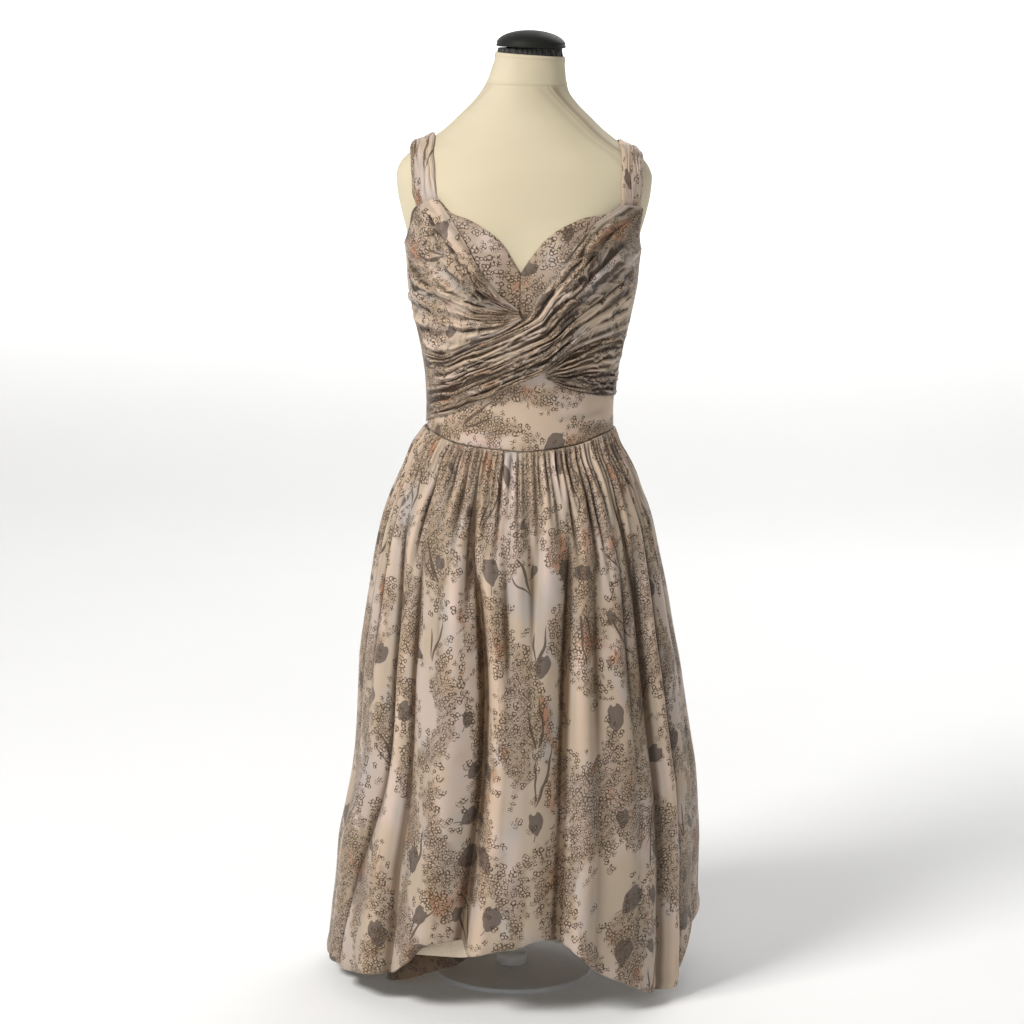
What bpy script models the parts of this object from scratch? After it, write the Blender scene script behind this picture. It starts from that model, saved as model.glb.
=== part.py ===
"""A sleeveless cocktail dress on a limbless dress form, in metres, +Z up, its front toward -Y.

Left and right are as seen from the front, so left is -X. Angles run round the body from the front
centre, positive toward +X, in degrees. Heights are above a datum plane, which lies DATUM above the floor,
so that the lowest point of the hem clears the floor. Cloth is a wall: an outer grid of points and an inner
one, worked out from the body's sections, the edge curves of each piece and its folds.
"""

import math

import bmesh
import bpy
import numpy as np

DATUM = 0.016
SEAM = 0.0003
SEAM_ANGLE = 0.07  # half of the gap at a vertical seam, in degrees

# The dress form's torso: half width at the sides, depth to the front and to the back of its axis.
TORSO = (
    # height, half_width, front, back
    (0.500, 0.1280, 0.0850, 0.0950),
    (0.512, 0.1460, 0.0970, 0.1080),
    (0.545, 0.1560, 0.1060, 0.1190),
    (0.600, 0.1580, 0.1100, 0.1230),
    (0.660, 0.1510, 0.1050, 0.1130),
    (0.720, 0.1350, 0.0960, 0.0970),
    (0.770, 0.1255, 0.0915, 0.0870),
    (0.800, 0.1245, 0.0915, 0.0850),
    (0.840, 0.1265, 0.0945, 0.0860),
    (0.880, 0.1325, 0.0985, 0.0890),
    (0.930, 0.1440, 0.1050, 0.0950),
    (0.975, 0.1520, 0.1110, 0.1010),
    (1.010, 0.1550, 0.1130, 0.1050),
    (1.040, 0.1600, 0.1100, 0.1090),
    (1.070, 0.1680, 0.1010, 0.1100),
    (1.100, 0.1740, 0.0900, 0.1060),
    (1.120, 0.1755, 0.0800, 0.1010),
    (1.136, 0.1700, 0.0710, 0.0940),
    (1.152, 0.1550, 0.0630, 0.0860),
    (1.169, 0.1280, 0.0560, 0.0780),
    (1.185, 0.1070, 0.0520, 0.0710),
    (1.201, 0.0900, 0.0490, 0.0650),
    (1.218, 0.0725, 0.0470, 0.0600),
    (1.235, 0.0595, 0.0460, 0.0550),
    (1.251, 0.0535, 0.0450, 0.0510),
    (1.267, 0.0500, 0.0440, 0.0480),
    (1.281, 0.0470, 0.0430, 0.0450),
    (1.2935, 0.0455, 0.0430, 0.0430),
)
NECK_LEAN = (
    # height, how far the neck's middle leans toward +X
    (1.2350, 0.0000),
    (1.2620, 0.0030),
    (1.2800, 0.0048),
    (1.2935, 0.0052),
)
TORSO_COLUMNS = 36
TORSO_CUT = 0.880  # the rings are the table's rows, and from here to the chest they are closer
TORSO_CUT_TOP = 1.060
TORSO_CUT_RINGS = 9

BUST_RISE = 0.034
BUST_OUT = 0.078  # of each apex from the centre
BUST_HEIGHT = 0.992
BUST_SPREAD = 0.052
BUST_SPREAD_UP = 0.055
BUST_FADE = 0.35  # cosine of the angle where the bust starts to fade to the side

CAP_RADIUS = 0.0475
CAP_MIDDLE = 0.0064  # x of its centre, on the leaning neck
CAP_LIP = 0.004
CAP_DOME = 0.0190
CAP_TILT = 1.0
CAP_FOOT = 0.93  # radius of the lip's lower edge, as a share
CAP_SEAT = 0.86  # radius where it sits on the neck, as a share
CAP_CURVE = 84  # how far round the dome's quarter circle runs, in degrees
CAP_COLUMNS = 32
CAP_RINGS = 6
POLE_RADIUS = 0.014
POLE_COLUMNS = 24
BASE_RADIUS = 0.115
BASE_THICK = 0.008
BASE_EDGE = 0.002
BASE_COLUMNS = 48

# Cloth layers, as distances from the torso.
PANEL_OUT = 0.0030
PANEL_WALL = 0.0013
DRAPE_GAP = 0.0010
DRAPE_WALL = 0.0013
STRAP_OUT = 0.0022
STRAP_WALL = 0.0014

CUP_SEAM = 0.900  # height of the seam under the bust, hidden by the drapes
WAIST = (
    # angle, height
    (-180, 0.7725),
    (-90, 0.7710),
    (-60, 0.7650),
    (-43, 0.7590),
    (-27, 0.7555),
    (-8, 0.7530),
    (0, 0.7515),
    (16, 0.7540),
    (31, 0.7580),
    (43, 0.7625),
    (53, 0.7675),
    (70, 0.7720),
    (90, 0.7735),
    (180, 0.7725),
)
TOP_LEFT = (
    # angle, height of the neckline, strap and armhole edge of the left cup
    (-90, 1.0220),
    (-76, 1.0370),
    (-66, 1.0550),
    (-58, 1.0710),
    (-41, 1.0890),
    (-35, 1.0750),
    (-25, 1.0660),
    (-15.5, 1.0510),
    (-9.3, 1.0350),
    (-5.3, 1.0170),
    (-1, 0.9980),
)
TOP_RIGHT = (
    # angle, height of the neckline, strap and armhole edge of the right cup
    (-1, 0.9980),
    (3.9, 1.0190),
    (9.1, 1.0380),
    (16, 1.0550),
    (23, 1.0650),
    (30, 1.0720),
    (39.5, 1.0750),
    (49, 1.0830),
    (66.8, 1.0750),
    (70, 1.0530),
    (80, 1.0290),
    (90, 1.0220),
)
TOP_BACK = (
    # angle, height of the back's top edge, the same on both sides
    (90, 1.0220),
    (110, 1.0300),
    (131, 1.0440),
    (149, 1.0440),
    (162, 1.0270),
    (180, 1.0200),
)
CENTRE_ANGLE = -1.0  # of the bottom of the sweetheart neckline

# Drapes. Each lies on the panels between four edges, as (angle, height) points. Folds run along it.
CUP_DRAPE = {
    "first": ((-2.2, 0.9490), (-12.4, 0.9720), (-19.3, 0.9960), (-27.5, 1.0380), (-41.0, 1.0870)),
    "last": ((-0.2, 0.9345), (-9.7, 0.9170), (-28.8, 0.8965), (-53.3, 0.8760), (-89.9, 0.8800)),
    "start": ((-2.2, 0.9490), (-0.2, 0.9345)),
    "end": (
        (-41.0, 1.0870),
        (-58.0, 1.0690),
        (-66.0, 1.0530),
        (-76.0, 1.0350),
        (-89.9, 1.0200),
        (-89.9, 0.9400),
        (-89.9, 0.8800),
    ),
}
WRAP_DRAPE = {
    "first": (
        (-89.9, 0.8788),
        (-53.3, 0.8748),
        (-28.8, 0.8953),
        (-9.7, 0.9158),
        (1.1, 0.9333),
        (3.6, 0.9400),
        (6.5, 0.9590),
        (12.2, 0.9840),
        (20.3, 1.0180),
        (31.8, 1.0600),
        (49.0, 1.0800),
    ),
    "last": (
        (-89.9, 0.7770),
        (-61.0, 0.7920),
        (-44.7, 0.8010),
        (-33.0, 0.8140),
        (-18.2, 0.8260),
        (-4.1, 0.8430),
        (12.3, 0.8610),
        (27.4, 0.8900),
        (47.6, 0.9070),
        (89.9, 0.9160),
    ),
    "start": ((-89.9, 0.8788), (-89.9, 0.7770)),
    "end": (
        (49.0, 1.0800),
        (66.3, 1.0730),
        (69.5, 1.0520),
        (80.0, 1.0270),
        (89.9, 1.0200),
        (89.9, 0.9700),
        (89.9, 0.9160),
    ),
}
SIDE_DRAPE = {
    "first": ((14.0, 0.8618), (27.4, 0.8885), (47.6, 0.9056), (89.9, 0.9146)),
    "last": ((14.4, 0.8530), (27.3, 0.8380), (39.2, 0.8310), (63.6, 0.8230), (89.9, 0.8200)),
    "start": ((14.0, 0.8618), (14.4, 0.8530)),
    "end": ((89.9, 0.9146), (89.9, 0.8200)),
}
DRAPES = (
    # name, edges, folds, steps along, fold depth, lift at the start, lift halfway, lift at the end
    ("drape_cup_left", CUP_DRAPE, 10, 13, 0.0052, 0.0030, 0.0010, 0.0000),
    ("drape_wrap", WRAP_DRAPE, 9, 23, 0.0048, 0.0000, 0.0040, 0.0000),
    ("drape_side_right", SIDE_DRAPE, 7, 9, 0.0042, 0.0020, 0.0005, 0.0000),
)
FOLD_END_SHARE = 0.25  # of a fold's depth that is left where it is sewn in
FOLD_END_LENGTH = 0.18  # share of the drape over which it grows

# Straps, by their edges at the front, over the shoulder and at the back.
STRAPS = (
    # name, front inner angle, front outer angle, shoulder inner x, shoulder outer x, lift inner, lift outer
    ("strap_left", -42.0, -57.5, -0.121, -0.155, 0.0030, 0.0090),
    ("strap_right", 50.0, 66.3, 0.124, 0.158, 0.0010, 0.0060),
)
STRAP_BACK_ANGLES = (148.5, 131.5)
STRAP_CENTRE = (0.010, 1.015)  # y, z of the line that the strap's angle is taken from
STRAP_FOLDS = 4
STRAP_FOLD_DEPTH = 0.0026
STRAP_STEPS = 12

# Skirt: its outline at the fold crests, by the drop below the waist seam.
SKIRT = (
    # drop, left, right, front, back
    (0.000, 0.1350, 0.1325, 0.1010, 0.0950),
    (0.010, 0.1420, 0.1370, 0.1050, 0.1010),
    (0.022, 0.1505, 0.1415, 0.1110, 0.1080),
    (0.038, 0.1575, 0.1510, 0.1200, 0.1170),
    (0.056, 0.1645, 0.1610, 0.1290, 0.1270),
    (0.089, 0.1790, 0.1740, 0.1410, 0.1420),
    (0.124, 0.1910, 0.1875, 0.1540, 0.1560),
    (0.174, 0.2020, 0.2005, 0.1690, 0.1720),
    (0.224, 0.2095, 0.2125, 0.1810, 0.1840),
    (0.276, 0.2175, 0.2230, 0.1920, 0.1940),
    (0.329, 0.2240, 0.2345, 0.2020, 0.2040),
    (0.380, 0.2260, 0.2430, 0.2100, 0.2120),
    (0.434, 0.2285, 0.2520, 0.2170, 0.2200),
    (0.484, 0.2335, 0.2600, 0.2240, 0.2260),
    (0.537, 0.2435, 0.2640, 0.2300, 0.2320),
    (0.589, 0.2540, 0.2670, 0.2350, 0.2360),
    (0.644, 0.2585, 0.2670, 0.2370, 0.2390),
    (0.704, 0.2655, 0.2690, 0.2400, 0.2410),
    (0.774, 0.2710, 0.2660, 0.2410, 0.2420),
)
HEM = (
    # angle, height
    (-180, 0.0300),
    (-150, 0.0220),
    (-120, 0.0280),
    (-105, 0.0120),
    (-90, 0.0060),
    (-75, 0.0080),
    (-50, 0.0230),
    (-43, 0.0270),
    (-20, 0.0640),
    (-14, 0.0860),
    (-6, 0.0900),
    (0, 0.0920),
    (8, 0.0990),
    (15, 0.0940),
    (20, 0.0760),
    (26, 0.0520),
    (36, 0.0280),
    (52, 0.0010),
    (60, 0.0010),
    (70, 0.0400),
    (78, 0.0700),
    (90, 0.0800),
    (110, 0.0480),
    (140, 0.0300),
    (180, 0.0300),
)
SKIRT_FOLDS = (
    # angle at the waist, halfway, at the hem, half width in degrees, start drop, depth halfway, depth at the hem
    (-80, -79, -84, 3.6, 0.06, 0.008, 0.010),
    (-60, -52, -71, 3.6, 0.03, 0.014, 0.016),
    (-68, -66, -58, 3.2, 0.08, 0.006, 0.008),
    (-45, -41, -43, 3.2, 0.04, 0.014, 0.018),
    (-34, -30, -31, 3.6, 0.06, 0.007, 0.006),
    (-27, -12, -18, 3.2, 0.05, 0.022, 0.024),
    (-8, -3, -5, 3.0, 0.05, 0.008, 0.004),
    (7, 5, 3, 3.0, 0.04, 0.008, 0.004),
    (26, 17, 13, 3.4, 0.03, 0.016, 0.022),
    (37, 29, 26, 3.6, 0.06, 0.007, 0.008),
    (50, 43, 41, 3.2, 0.04, 0.012, 0.010),
    (61, 52, 53, 3.0, 0.05, 0.014, 0.016),
    (71, 64, 65, 3.2, 0.07, 0.010, 0.012),
    (82, 78, 78, 3.4, 0.08, 0.008, 0.010),
    (96, 94, 96, 3.6, 0.06, 0.009, 0.011),
    (109, 107, 109, 3.6, 0.05, 0.014, 0.018),
    (121, 122, 122, 3.4, 0.08, 0.009, 0.012),
    (133, 134, 137, 3.8, 0.04, 0.017, 0.021),
    (147, 147, 150, 3.4, 0.10, 0.009, 0.012),
    (162, 163, 164, 3.6, 0.04, 0.015, 0.019),
    (177, 178, 177, 3.8, 0.08, 0.010, 0.012),
    (191, 191, 190, 3.6, 0.04, 0.017, 0.020),
    (205, 204, 203, 3.4, 0.07, 0.010, 0.014),
    (217, 218, 219, 3.8, 0.05, 0.015, 0.017),
    (233, 232, 231, 3.6, 0.09, 0.008, 0.012),
    (246, 246, 245, 3.8, 0.05, 0.015, 0.019),
    (262, 261, 259, 3.6, 0.07, 0.009, 0.012),
)
FOLD_HALF_DROP = 0.34
FOLD_HEM_DROP = 0.72
FOLD_STEPS = 12
FOLD_REACH = 3.0  # in half widths, where a fold has faded out
GATHERS = 76
GATHER_DEPTHS = (
    # drop, depth
    (0.000, 0.0022),
    (0.014, 0.0054),
    (0.050, 0.0054),
    (0.100, 0.0034),
    (0.170, 0.0012),
    (0.240, 0.0000),
)
SKIRT_WALL = 0.0016
SKIRT_ROWS = (0.0, 0.018, 0.055, 0.12, 0.22, 0.36, 0.54, 0.76, 1.0)  # shares of the drop

LINING_WALL = 0.0012
LINING_TOP = 0.002
LINING_COLUMNS = 44
LINING_ROWS = (0.0, 0.014, 0.04, 0.11, 0.33, 1.0)
LINING_CLEAR = (
    # drop, distance inside the skirt's crests
    (0.000, 0.0052),
    (0.012, 0.0080),
    (0.100, 0.0130),
    (0.250, 0.0260),
    (0.420, 0.0340),
    (0.800, 0.0340),
)
LINING_HEM = (
    # angle, height
    (-180, 0.0640),
    (-90, 0.0560),
    (-45, 0.0640),
    (-16, 0.0740),
    (-4, 0.0840),
    (20, 0.1240),
    (60, 0.1060),
    (90, 0.1060),
    (180, 0.0640),
)

COLOURS = {
    # name: base colour, roughness
    "print": ((0.62, 0.53, 0.45, 1.0), 0.75),
    "lining": ((0.78, 0.70, 0.58, 1.0), 0.60),
    "jersey": ((0.80, 0.73, 0.58, 1.0), 0.85),
    "cap": ((0.012, 0.013, 0.013, 1.0), 0.18),
    "stand": ((0.82, 0.81, 0.78, 1.0), 0.45),
}


class Curve:
    """A smooth curve through a table's rows by their first column, which never overshoots a row."""

    def __init__(self, rows):
        data = np.array(rows, float)
        self.keys = data[:, 0]
        self.values = data[:, 1:]
        steps = np.diff(self.keys)[:, None]
        slopes = np.diff(self.values, axis=0) / steps
        same_way = slopes[:-1] * slopes[1:] > 0
        total = np.where(same_way, slopes[:-1] + slopes[1:], 1.0)
        self.slopes = np.zeros_like(self.values)
        self.slopes[1:-1] = np.where(same_way, 2 * slopes[:-1] * slopes[1:] / total, 0.0)
        self.slopes[0] = slopes[0]
        self.slopes[-1] = slopes[-1]

    def __call__(self, key):
        key = min(max(key, self.keys[0]), self.keys[-1])
        i = int(np.clip(np.searchsorted(self.keys, key, side="right") - 1, 0, len(self.keys) - 2))
        step = self.keys[i + 1] - self.keys[i]
        t = (key - self.keys[i]) / step
        start = (1 + 2 * t) * (1 - t) ** 2 * self.values[i] + t * (1 - t) ** 2 * step * self.slopes[i]
        end = t * t * (3 - 2 * t) * self.values[i + 1] + t * t * (t - 1) * step * self.slopes[i + 1]
        return start + end


def smooth(t):
    t = min(max(t, 0.0), 1.0)
    return t * t * (3 - 2 * t)


def edge(points):
    """A curve through (angle, height) points, by the share of its length."""
    around = 0.13 * math.pi / 180  # metres for a degree round the bodice, near enough for spacing
    run = [0.0]
    for (a0, h0), (a1, h1) in zip(points, points[1:]):
        run.append(run[-1] + math.hypot((a1 - a0) * around, h1 - h0))
    return Curve([(r / run[-1], a, h) for r, (a, h) in zip(run, points)])


torso_at = Curve(TORSO)
lean_at = Curve(NECK_LEAN)
waist_at = Curve(WAIST)
hem_at = Curve(HEM)
skirt_at = Curve(SKIRT)
gather_at = Curve(GATHER_DEPTHS)
lining_clear_at = Curve(LINING_CLEAR)
lining_hem_at = Curve(LINING_HEM)


def fold_paths():
    """A curve by the drop, with the angle and the depth of each of the skirt's large folds."""
    drops = [FOLD_HEM_DROP * k / FOLD_STEPS for k in range(FOLD_STEPS + 1)]
    rows = []
    for drop in drops:
        row = [drop]
        for waist, half, hem, half_width, start, half_depth, hem_depth in SKIRT_FOLDS:
            angle = Curve(((0.0, waist), (FOLD_HALF_DROP, half), (FOLD_HEM_DROP, hem)))(drop)[0]
            depth = Curve(((start, 0.0), (FOLD_HALF_DROP, half_depth), (FOLD_HEM_DROP, hem_depth)))(drop)[0]
            row += [angle, depth]
        rows.append(row)
    return Curve(rows)


fold_at = fold_paths()


def turned(angle):
    """The same angle between -180 and 180."""
    return (angle + 180) % 360 - 180


def bust(x, height):
    """How far the bust stands forward of the plain section."""
    rise = math.exp(-(((height - BUST_HEIGHT) / BUST_SPREAD_UP) ** 2))
    sides = sum(math.exp(-(((x - side * BUST_OUT) / BUST_SPREAD) ** 2)) for side in (-1, 1))
    return BUST_RISE * rise * sides


def skin(angle, height, out=0.0):
    """The point at this angle and height, this far outside the torso."""
    half_width, front, back = torso_at(height)
    sine = math.sin(math.radians(angle))
    cosine = math.cos(math.radians(angle))
    x = (half_width + out) * sine
    lean = lean_at(height)[0]
    if cosine <= 0:
        return (x + lean, -(back + out) * cosine, height)
    forward = (front + out) * cosine + bust(x, height) * smooth(cosine / BUST_FADE)
    return (x + lean, -forward, height)


def material(kind):
    found = bpy.data.materials.get(kind)
    if found:
        return found
    colour, roughness = COLOURS[kind]
    made = bpy.data.materials.new(kind)
    made.use_nodes = True
    principled = made.node_tree.nodes["Principled BSDF"]
    principled.inputs["Base Color"].default_value = colour
    principled.inputs["Roughness"].default_value = roughness
    return made


def piece(name, points, faces, kind):
    """One closed body with its faces turned outward, standing on the datum plane."""
    mesh = bpy.data.meshes.new(name)
    mesh.from_pydata([tuple(p) for p in points], [], faces)
    shape = bmesh.new()
    shape.from_mesh(mesh)
    bmesh.ops.recalc_face_normals(shape, faces=shape.faces)
    shape.to_mesh(mesh)
    shape.free()
    mesh.shade_smooth()
    mesh.set_sharp_from_angle(angle=math.radians(60))
    mesh.materials.append(material(kind))
    made = bpy.data.objects.new(name, mesh)
    bpy.context.scene.collection.objects.link(made)
    made.parent = datum
    return made


def wall(name, outer, inner, kind, closed=False):
    """A wall between two grids of rows of points. A closed one joins each row's end to its start."""
    rows = len(outer)
    columns = len(outer[0])
    points = [p for grid in (outer, inner) for row in grid for p in row]
    spans = [(j, (j + 1) % columns) for j in range(columns if closed else columns - 1)]
    faces = []

    def at(side, i, j):
        return (side * rows + i) * columns + j

    for j, k in spans:
        for side in (0, 1):
            for i in range(rows - 1):
                faces.append((at(side, i, j), at(side, i, k), at(side, i + 1, k), at(side, i + 1, j)))
        faces += [(at(0, i, j), at(0, i, k), at(1, i, k), at(1, i, j)) for i in (0, rows - 1)]
    if not closed:
        for j in (0, columns - 1):
            faces += [(at(0, i, j), at(0, i + 1, j), at(1, i + 1, j), at(1, i, j)) for i in range(rows - 1)]
    return piece(name, points, faces, kind)


def turned_body(name, rings, kind):
    """A solid through closed rings of points, with flat ends."""
    columns = len(rings[0])
    points = [p for ring in rings for p in ring]
    faces = []
    for i in range(len(rings) - 1):
        for j in range(columns):
            k = (j + 1) % columns
            faces.append((i * columns + j, i * columns + k, (i + 1) * columns + k, (i + 1) * columns + j))
    faces.append(tuple(range(columns)))
    faces.append(tuple((len(rings) - 1) * columns + j for j in range(columns)))
    return piece(name, points, faces, kind)


def round_ring(radius, height, columns):
    angles = [2 * math.pi * j / columns for j in range(columns)]
    return [(radius * math.sin(a), -radius * math.cos(a), height) for a in angles]


def form_torso():
    heights = [row[0] for row in TORSO if not TORSO_CUT <= row[0] <= TORSO_CUT_TOP]
    step = (TORSO_CUT_TOP - TORSO_CUT) / (TORSO_CUT_RINGS - 1)
    heights += [TORSO_CUT + step * k for k in range(TORSO_CUT_RINGS)]
    angles = [360 * j / TORSO_COLUMNS for j in range(TORSO_COLUMNS)]
    turned_body("form_torso", [[skin(a, h) for a in angles] for h in sorted(heights)], "jersey")


def form_neck_cap():
    """A low dome with a rounded lip, a little tilted, on the torso's neck."""
    neck = TORSO[-1][0] + SEAM
    tilt = math.radians(CAP_TILT)
    foot = neck + CAP_RADIUS * abs(math.sin(tilt))
    profile = [(CAP_RADIUS * CAP_FOOT, 0.0), (CAP_RADIUS, 0.3 * CAP_LIP), (CAP_RADIUS, 0.8 * CAP_LIP)]
    for k in range(1, CAP_RINGS + 1):
        a = math.radians(CAP_CURVE) * k / CAP_RINGS
        profile.append((CAP_RADIUS * math.cos(a), CAP_LIP + CAP_DOME * math.sin(a)))
    # The first ring is level on the neck, so the cap seats all round in spite of its tilt.
    rings = [[(x + CAP_MIDDLE, y, z) for x, y, z in round_ring(CAP_RADIUS * CAP_SEAT, neck, CAP_COLUMNS)]]
    for radius, height in profile:
        ring = []
        for x, y, z in round_ring(radius, height, CAP_COLUMNS):
            level = foot - x * math.sin(tilt) + z * math.cos(tilt)
            ring.append((x * math.cos(tilt) + z * math.sin(tilt) + CAP_MIDDLE, y, level))
        rings.append(ring)
    turned_body("form_neck_cap", rings, "cap")


def form_stand():
    """A pole from a round base plate, whose underside is on the floor, up to the torso."""
    low = -DATUM
    top = low + BASE_THICK
    rim = BASE_RADIUS - BASE_EDGE
    profile = ((rim, low), (BASE_RADIUS, low + BASE_EDGE), (BASE_RADIUS, top - BASE_EDGE), (rim, top))
    turned_body("form_base", [round_ring(r, z, BASE_COLUMNS) for r, z in profile], "stand")
    pole = (top + SEAM, TORSO[0][0] - SEAM)
    turned_body("form_pole", [round_ring(POLE_RADIUS, z, POLE_COLUMNS) for z in pole], "stand")


def panel(name, first, last, low_at, high_at, columns, rows):
    """A plain bodice panel between two angles and two edge curves."""
    angles = [first + (last - first) * j / columns for j in range(columns + 1)]
    grids = []
    for out in (PANEL_OUT + PANEL_WALL, PANEL_OUT):
        grid = []
        for i in range(rows + 1):
            heights = [low_at(a) + (high_at(a) - low_at(a)) * i / rows for a in angles]
            grid.append([skin(a, h, out) for a, h in zip(angles, heights)])
        grids.append(grid)
    wall(name, grids[0], grids[1], "print")


def bodice_panels():
    left_at = Curve(TOP_LEFT)
    right_at = Curve(TOP_RIGHT)
    back_at = Curve(TOP_BACK)

    def waist(angle):
        return waist_at(turned(angle))[0]

    def under_bust(angle):
        return CUP_SEAM

    side = 90 - SEAM_ANGLE
    panel("midriff_front", -side, side, waist, lambda a: CUP_SEAM - SEAM, 28, 4)
    panel("cup_left", -side, CENTRE_ANGLE - SEAM_ANGLE, under_bust, lambda a: left_at(a)[0], 18, 10)
    panel("cup_right", CENTRE_ANGLE + SEAM_ANGLE, side, under_bust, lambda a: right_at(a)[0], 18, 10)
    back = 90 + SEAM_ANGLE
    middle = 180 - SEAM_ANGLE
    panel("bodice_back_right", back, middle, waist, lambda a: back_at(a)[0], 11, 5)
    panel("bodice_back_left", -middle, -back, waist, lambda a: back_at(-a)[0], 11, 5)


def uneven(number, low=0.65):
    """A steady, uneven share between `low` and 1 for the fold of this number."""
    return low + (1 - low) * (0.5 + 0.5 * math.sin(2.4 * number + 0.9 * math.sin(1.7 * number)))


def drape(name, edges, folds, steps, depth, lift_start, lift_half, lift_end):
    """A gathered drape between its four edges, whose folds run from its start to its end."""
    first, last, start, end = (edge(edges[side]) for side in ("first", "last", "start", "end"))
    across = 2 * folds
    lift_at = Curve(((0.0, lift_start), (0.5, lift_half), (1.0, lift_end)))
    outer = []
    inner = []
    for i in range(steps + 1):
        u = i / steps
        grow = smooth(min(u, 1 - u) / FOLD_END_LENGTH)
        height = depth * (FOLD_END_SHARE + (1 - FOLD_END_SHARE) * grow)
        rows = ([], [])
        for j in range(across + 1):
            v = j / across
            corners = (1 - u) * ((1 - v) * start(0) + v * start(1)) + u * ((1 - v) * end(0) + v * end(1))
            angle, level = (1 - v) * first(u) + v * last(u) + (1 - u) * start(v) + u * end(v) - corners
            ridge = height * uneven(j) if j % 2 else 0.0
            out = PANEL_OUT + PANEL_WALL + DRAPE_GAP + lift_at(u)[0] + ridge
            rows[0].append(skin(angle, level, out + DRAPE_WALL))
            rows[1].append(skin(angle, level, out))
        outer.append(rows[0])
        inner.append(rows[1])
    wall(name, outer, inner, "print")


def over_shoulder(x, turn, out):
    """The point `out` outside the torso on the section at x, at this angle up from the front and back."""
    y0, z0 = STRAP_CENTRE
    dy = -math.cos(turn)
    dz = math.sin(turn)
    near = 0.0
    far = 0.25
    for _ in range(40):
        reach = (near + far) / 2
        y = y0 + reach * dy
        z = z0 + reach * dz
        half_width, front, back = torso_at(z)
        inside = abs(x) < half_width and z < TORSO[-1][0]
        if inside:
            share = math.sqrt(1 - (x / half_width) ** 2)
            inside = -(front * share + bust(x, z) * smooth(share / BUST_FADE)) < y < back * share
        if inside:
            near = reach
        else:
            far = reach
    reach = near + out
    return (x, y0 + reach * dy, z0 + reach * dz)


def strap(name, front_inner, front_outer, top_inner, top_outer, lift_inner, lift_outer):
    """A gathered strap from the cup's top edge over the shoulder to the back's top edge."""
    side = 1 if top_inner > 0 else -1
    front_at = Curve(TOP_RIGHT if side > 0 else TOP_LEFT)
    back_at = Curve(TOP_BACK)
    y0, z0 = STRAP_CENTRE
    across = 2 * STRAP_FOLDS
    grids = ([], [])
    for i in range(STRAP_STEPS + 1):
        u = i / STRAP_STEPS
        rows = ([], [])
        for j in range(across + 1):
            v = j / across
            angle = front_inner + (front_outer - front_inner) * v
            x_front, y_front, z_front = skin(angle, front_at(angle)[0] + 2 * SEAM, STRAP_OUT)
            back_angle = STRAP_BACK_ANGLES[0] + (STRAP_BACK_ANGLES[1] - STRAP_BACK_ANGLES[0]) * v
            x_back, y_back, z_back = skin(side * back_angle, back_at(back_angle)[0] + 2 * SEAM, STRAP_OUT)
            x_top = top_inner + (top_outer - top_inner) * v
            x = x_front * (1 - u) * (1 - 2 * u) + 4 * u * (1 - u) * x_top - x_back * u * (1 - 2 * u)
            turn_front = math.atan2(z_front - z0, -(y_front - y0))
            turn_back = math.atan2(z_back - z0, -(y_back - y0))
            turn = turn_front + (turn_back - turn_front) * u
            lift = (lift_inner + (lift_outer - lift_inner) * v) * smooth(2 * min(u, 1 - u))
            ridge = STRAP_FOLD_DEPTH * uneven(j + 3) if j % 2 else 0.0
            out = STRAP_OUT + lift + ridge
            rows[0].append(over_shoulder(x, turn, out + STRAP_WALL))
            rows[1].append(over_shoulder(x, turn, out))
        grids[0].append(rows[0])
        grids[1].append(rows[1])
    wall(name, grids[0], grids[1], "print")


def skirt_depth(angle, drop):
    """How far the skirt's large folds lie inside its crests."""
    total = 0.0
    down = fold_at(min(drop, FOLD_HEM_DROP))
    for fold, (centre, depth) in enumerate(down.reshape(-1, 2)):
        away = abs(turned(angle - centre)) / SKIRT_FOLDS[fold][3]
        if away < FOLD_REACH:
            total += depth * math.exp(-away * away)
    return total


def skirt_point(angle, drop, inside):
    """The point of the skirt `inside` its crests, at this angle and drop below the waist seam."""
    left, right, front, back = skirt_at(drop)
    sine = math.sin(math.radians(angle))
    cosine = math.cos(math.radians(angle))
    x = ((right if sine > 0 else left) - inside) * sine
    y = -((front if cosine > 0 else back) - inside) * cosine
    return (x, y, waist_at(turned(angle))[0] - SEAM - drop)


def skirt_panel(name, first):
    """Half of the skirt, from one side seam to the other, with a crest and a trough for each gather."""
    columns = GATHERS
    span = 180 - 2 * SEAM_ANGLE
    outer = []
    inner = []
    for share in SKIRT_ROWS:
        rows = ([], [])
        for j in range(columns + 1):
            wander = 0.28 * math.sin(1.9 * j) * smooth(min(j, columns - j) / 2)
            angle = first + SEAM_ANGLE + span * (j + wander) / columns
            drop = share * (waist_at(turned(angle))[0] - SEAM - hem_at(turned(angle))[0])
            gather = gather_at(drop)[0] * uneven(j + first) if j % 2 else 0.0
            inside = skirt_depth(angle, drop) + gather
            rows[0].append(skirt_point(angle, drop, inside))
            rows[1].append(skirt_point(angle, drop, inside + SKIRT_WALL))
        outer.append(rows[0])
        inner.append(rows[1])
    wall(name, outer, inner, "print")


def skirt_lining():
    """A plain lining inside the skirt's folds. Its hem shows under the front hem at the left."""
    outer = []
    inner = []
    for share in LINING_ROWS:
        rows = ([], [])
        for j in range(LINING_COLUMNS):
            angle = -180 + 360 * j / LINING_COLUMNS
            top = waist_at(angle)[0] - SEAM
            drop = LINING_TOP + share * (top - lining_hem_at(angle)[0] - LINING_TOP)
            inside = lining_clear_at(drop)[0]
            rows[0].append(skirt_point(angle, drop, inside))
            rows[1].append(skirt_point(angle, drop, inside + LINING_WALL))
        outer.append(rows[0])
        inner.append(rows[1])
    wall("skirt_lining", outer, inner, "lining", closed=True)


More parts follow.
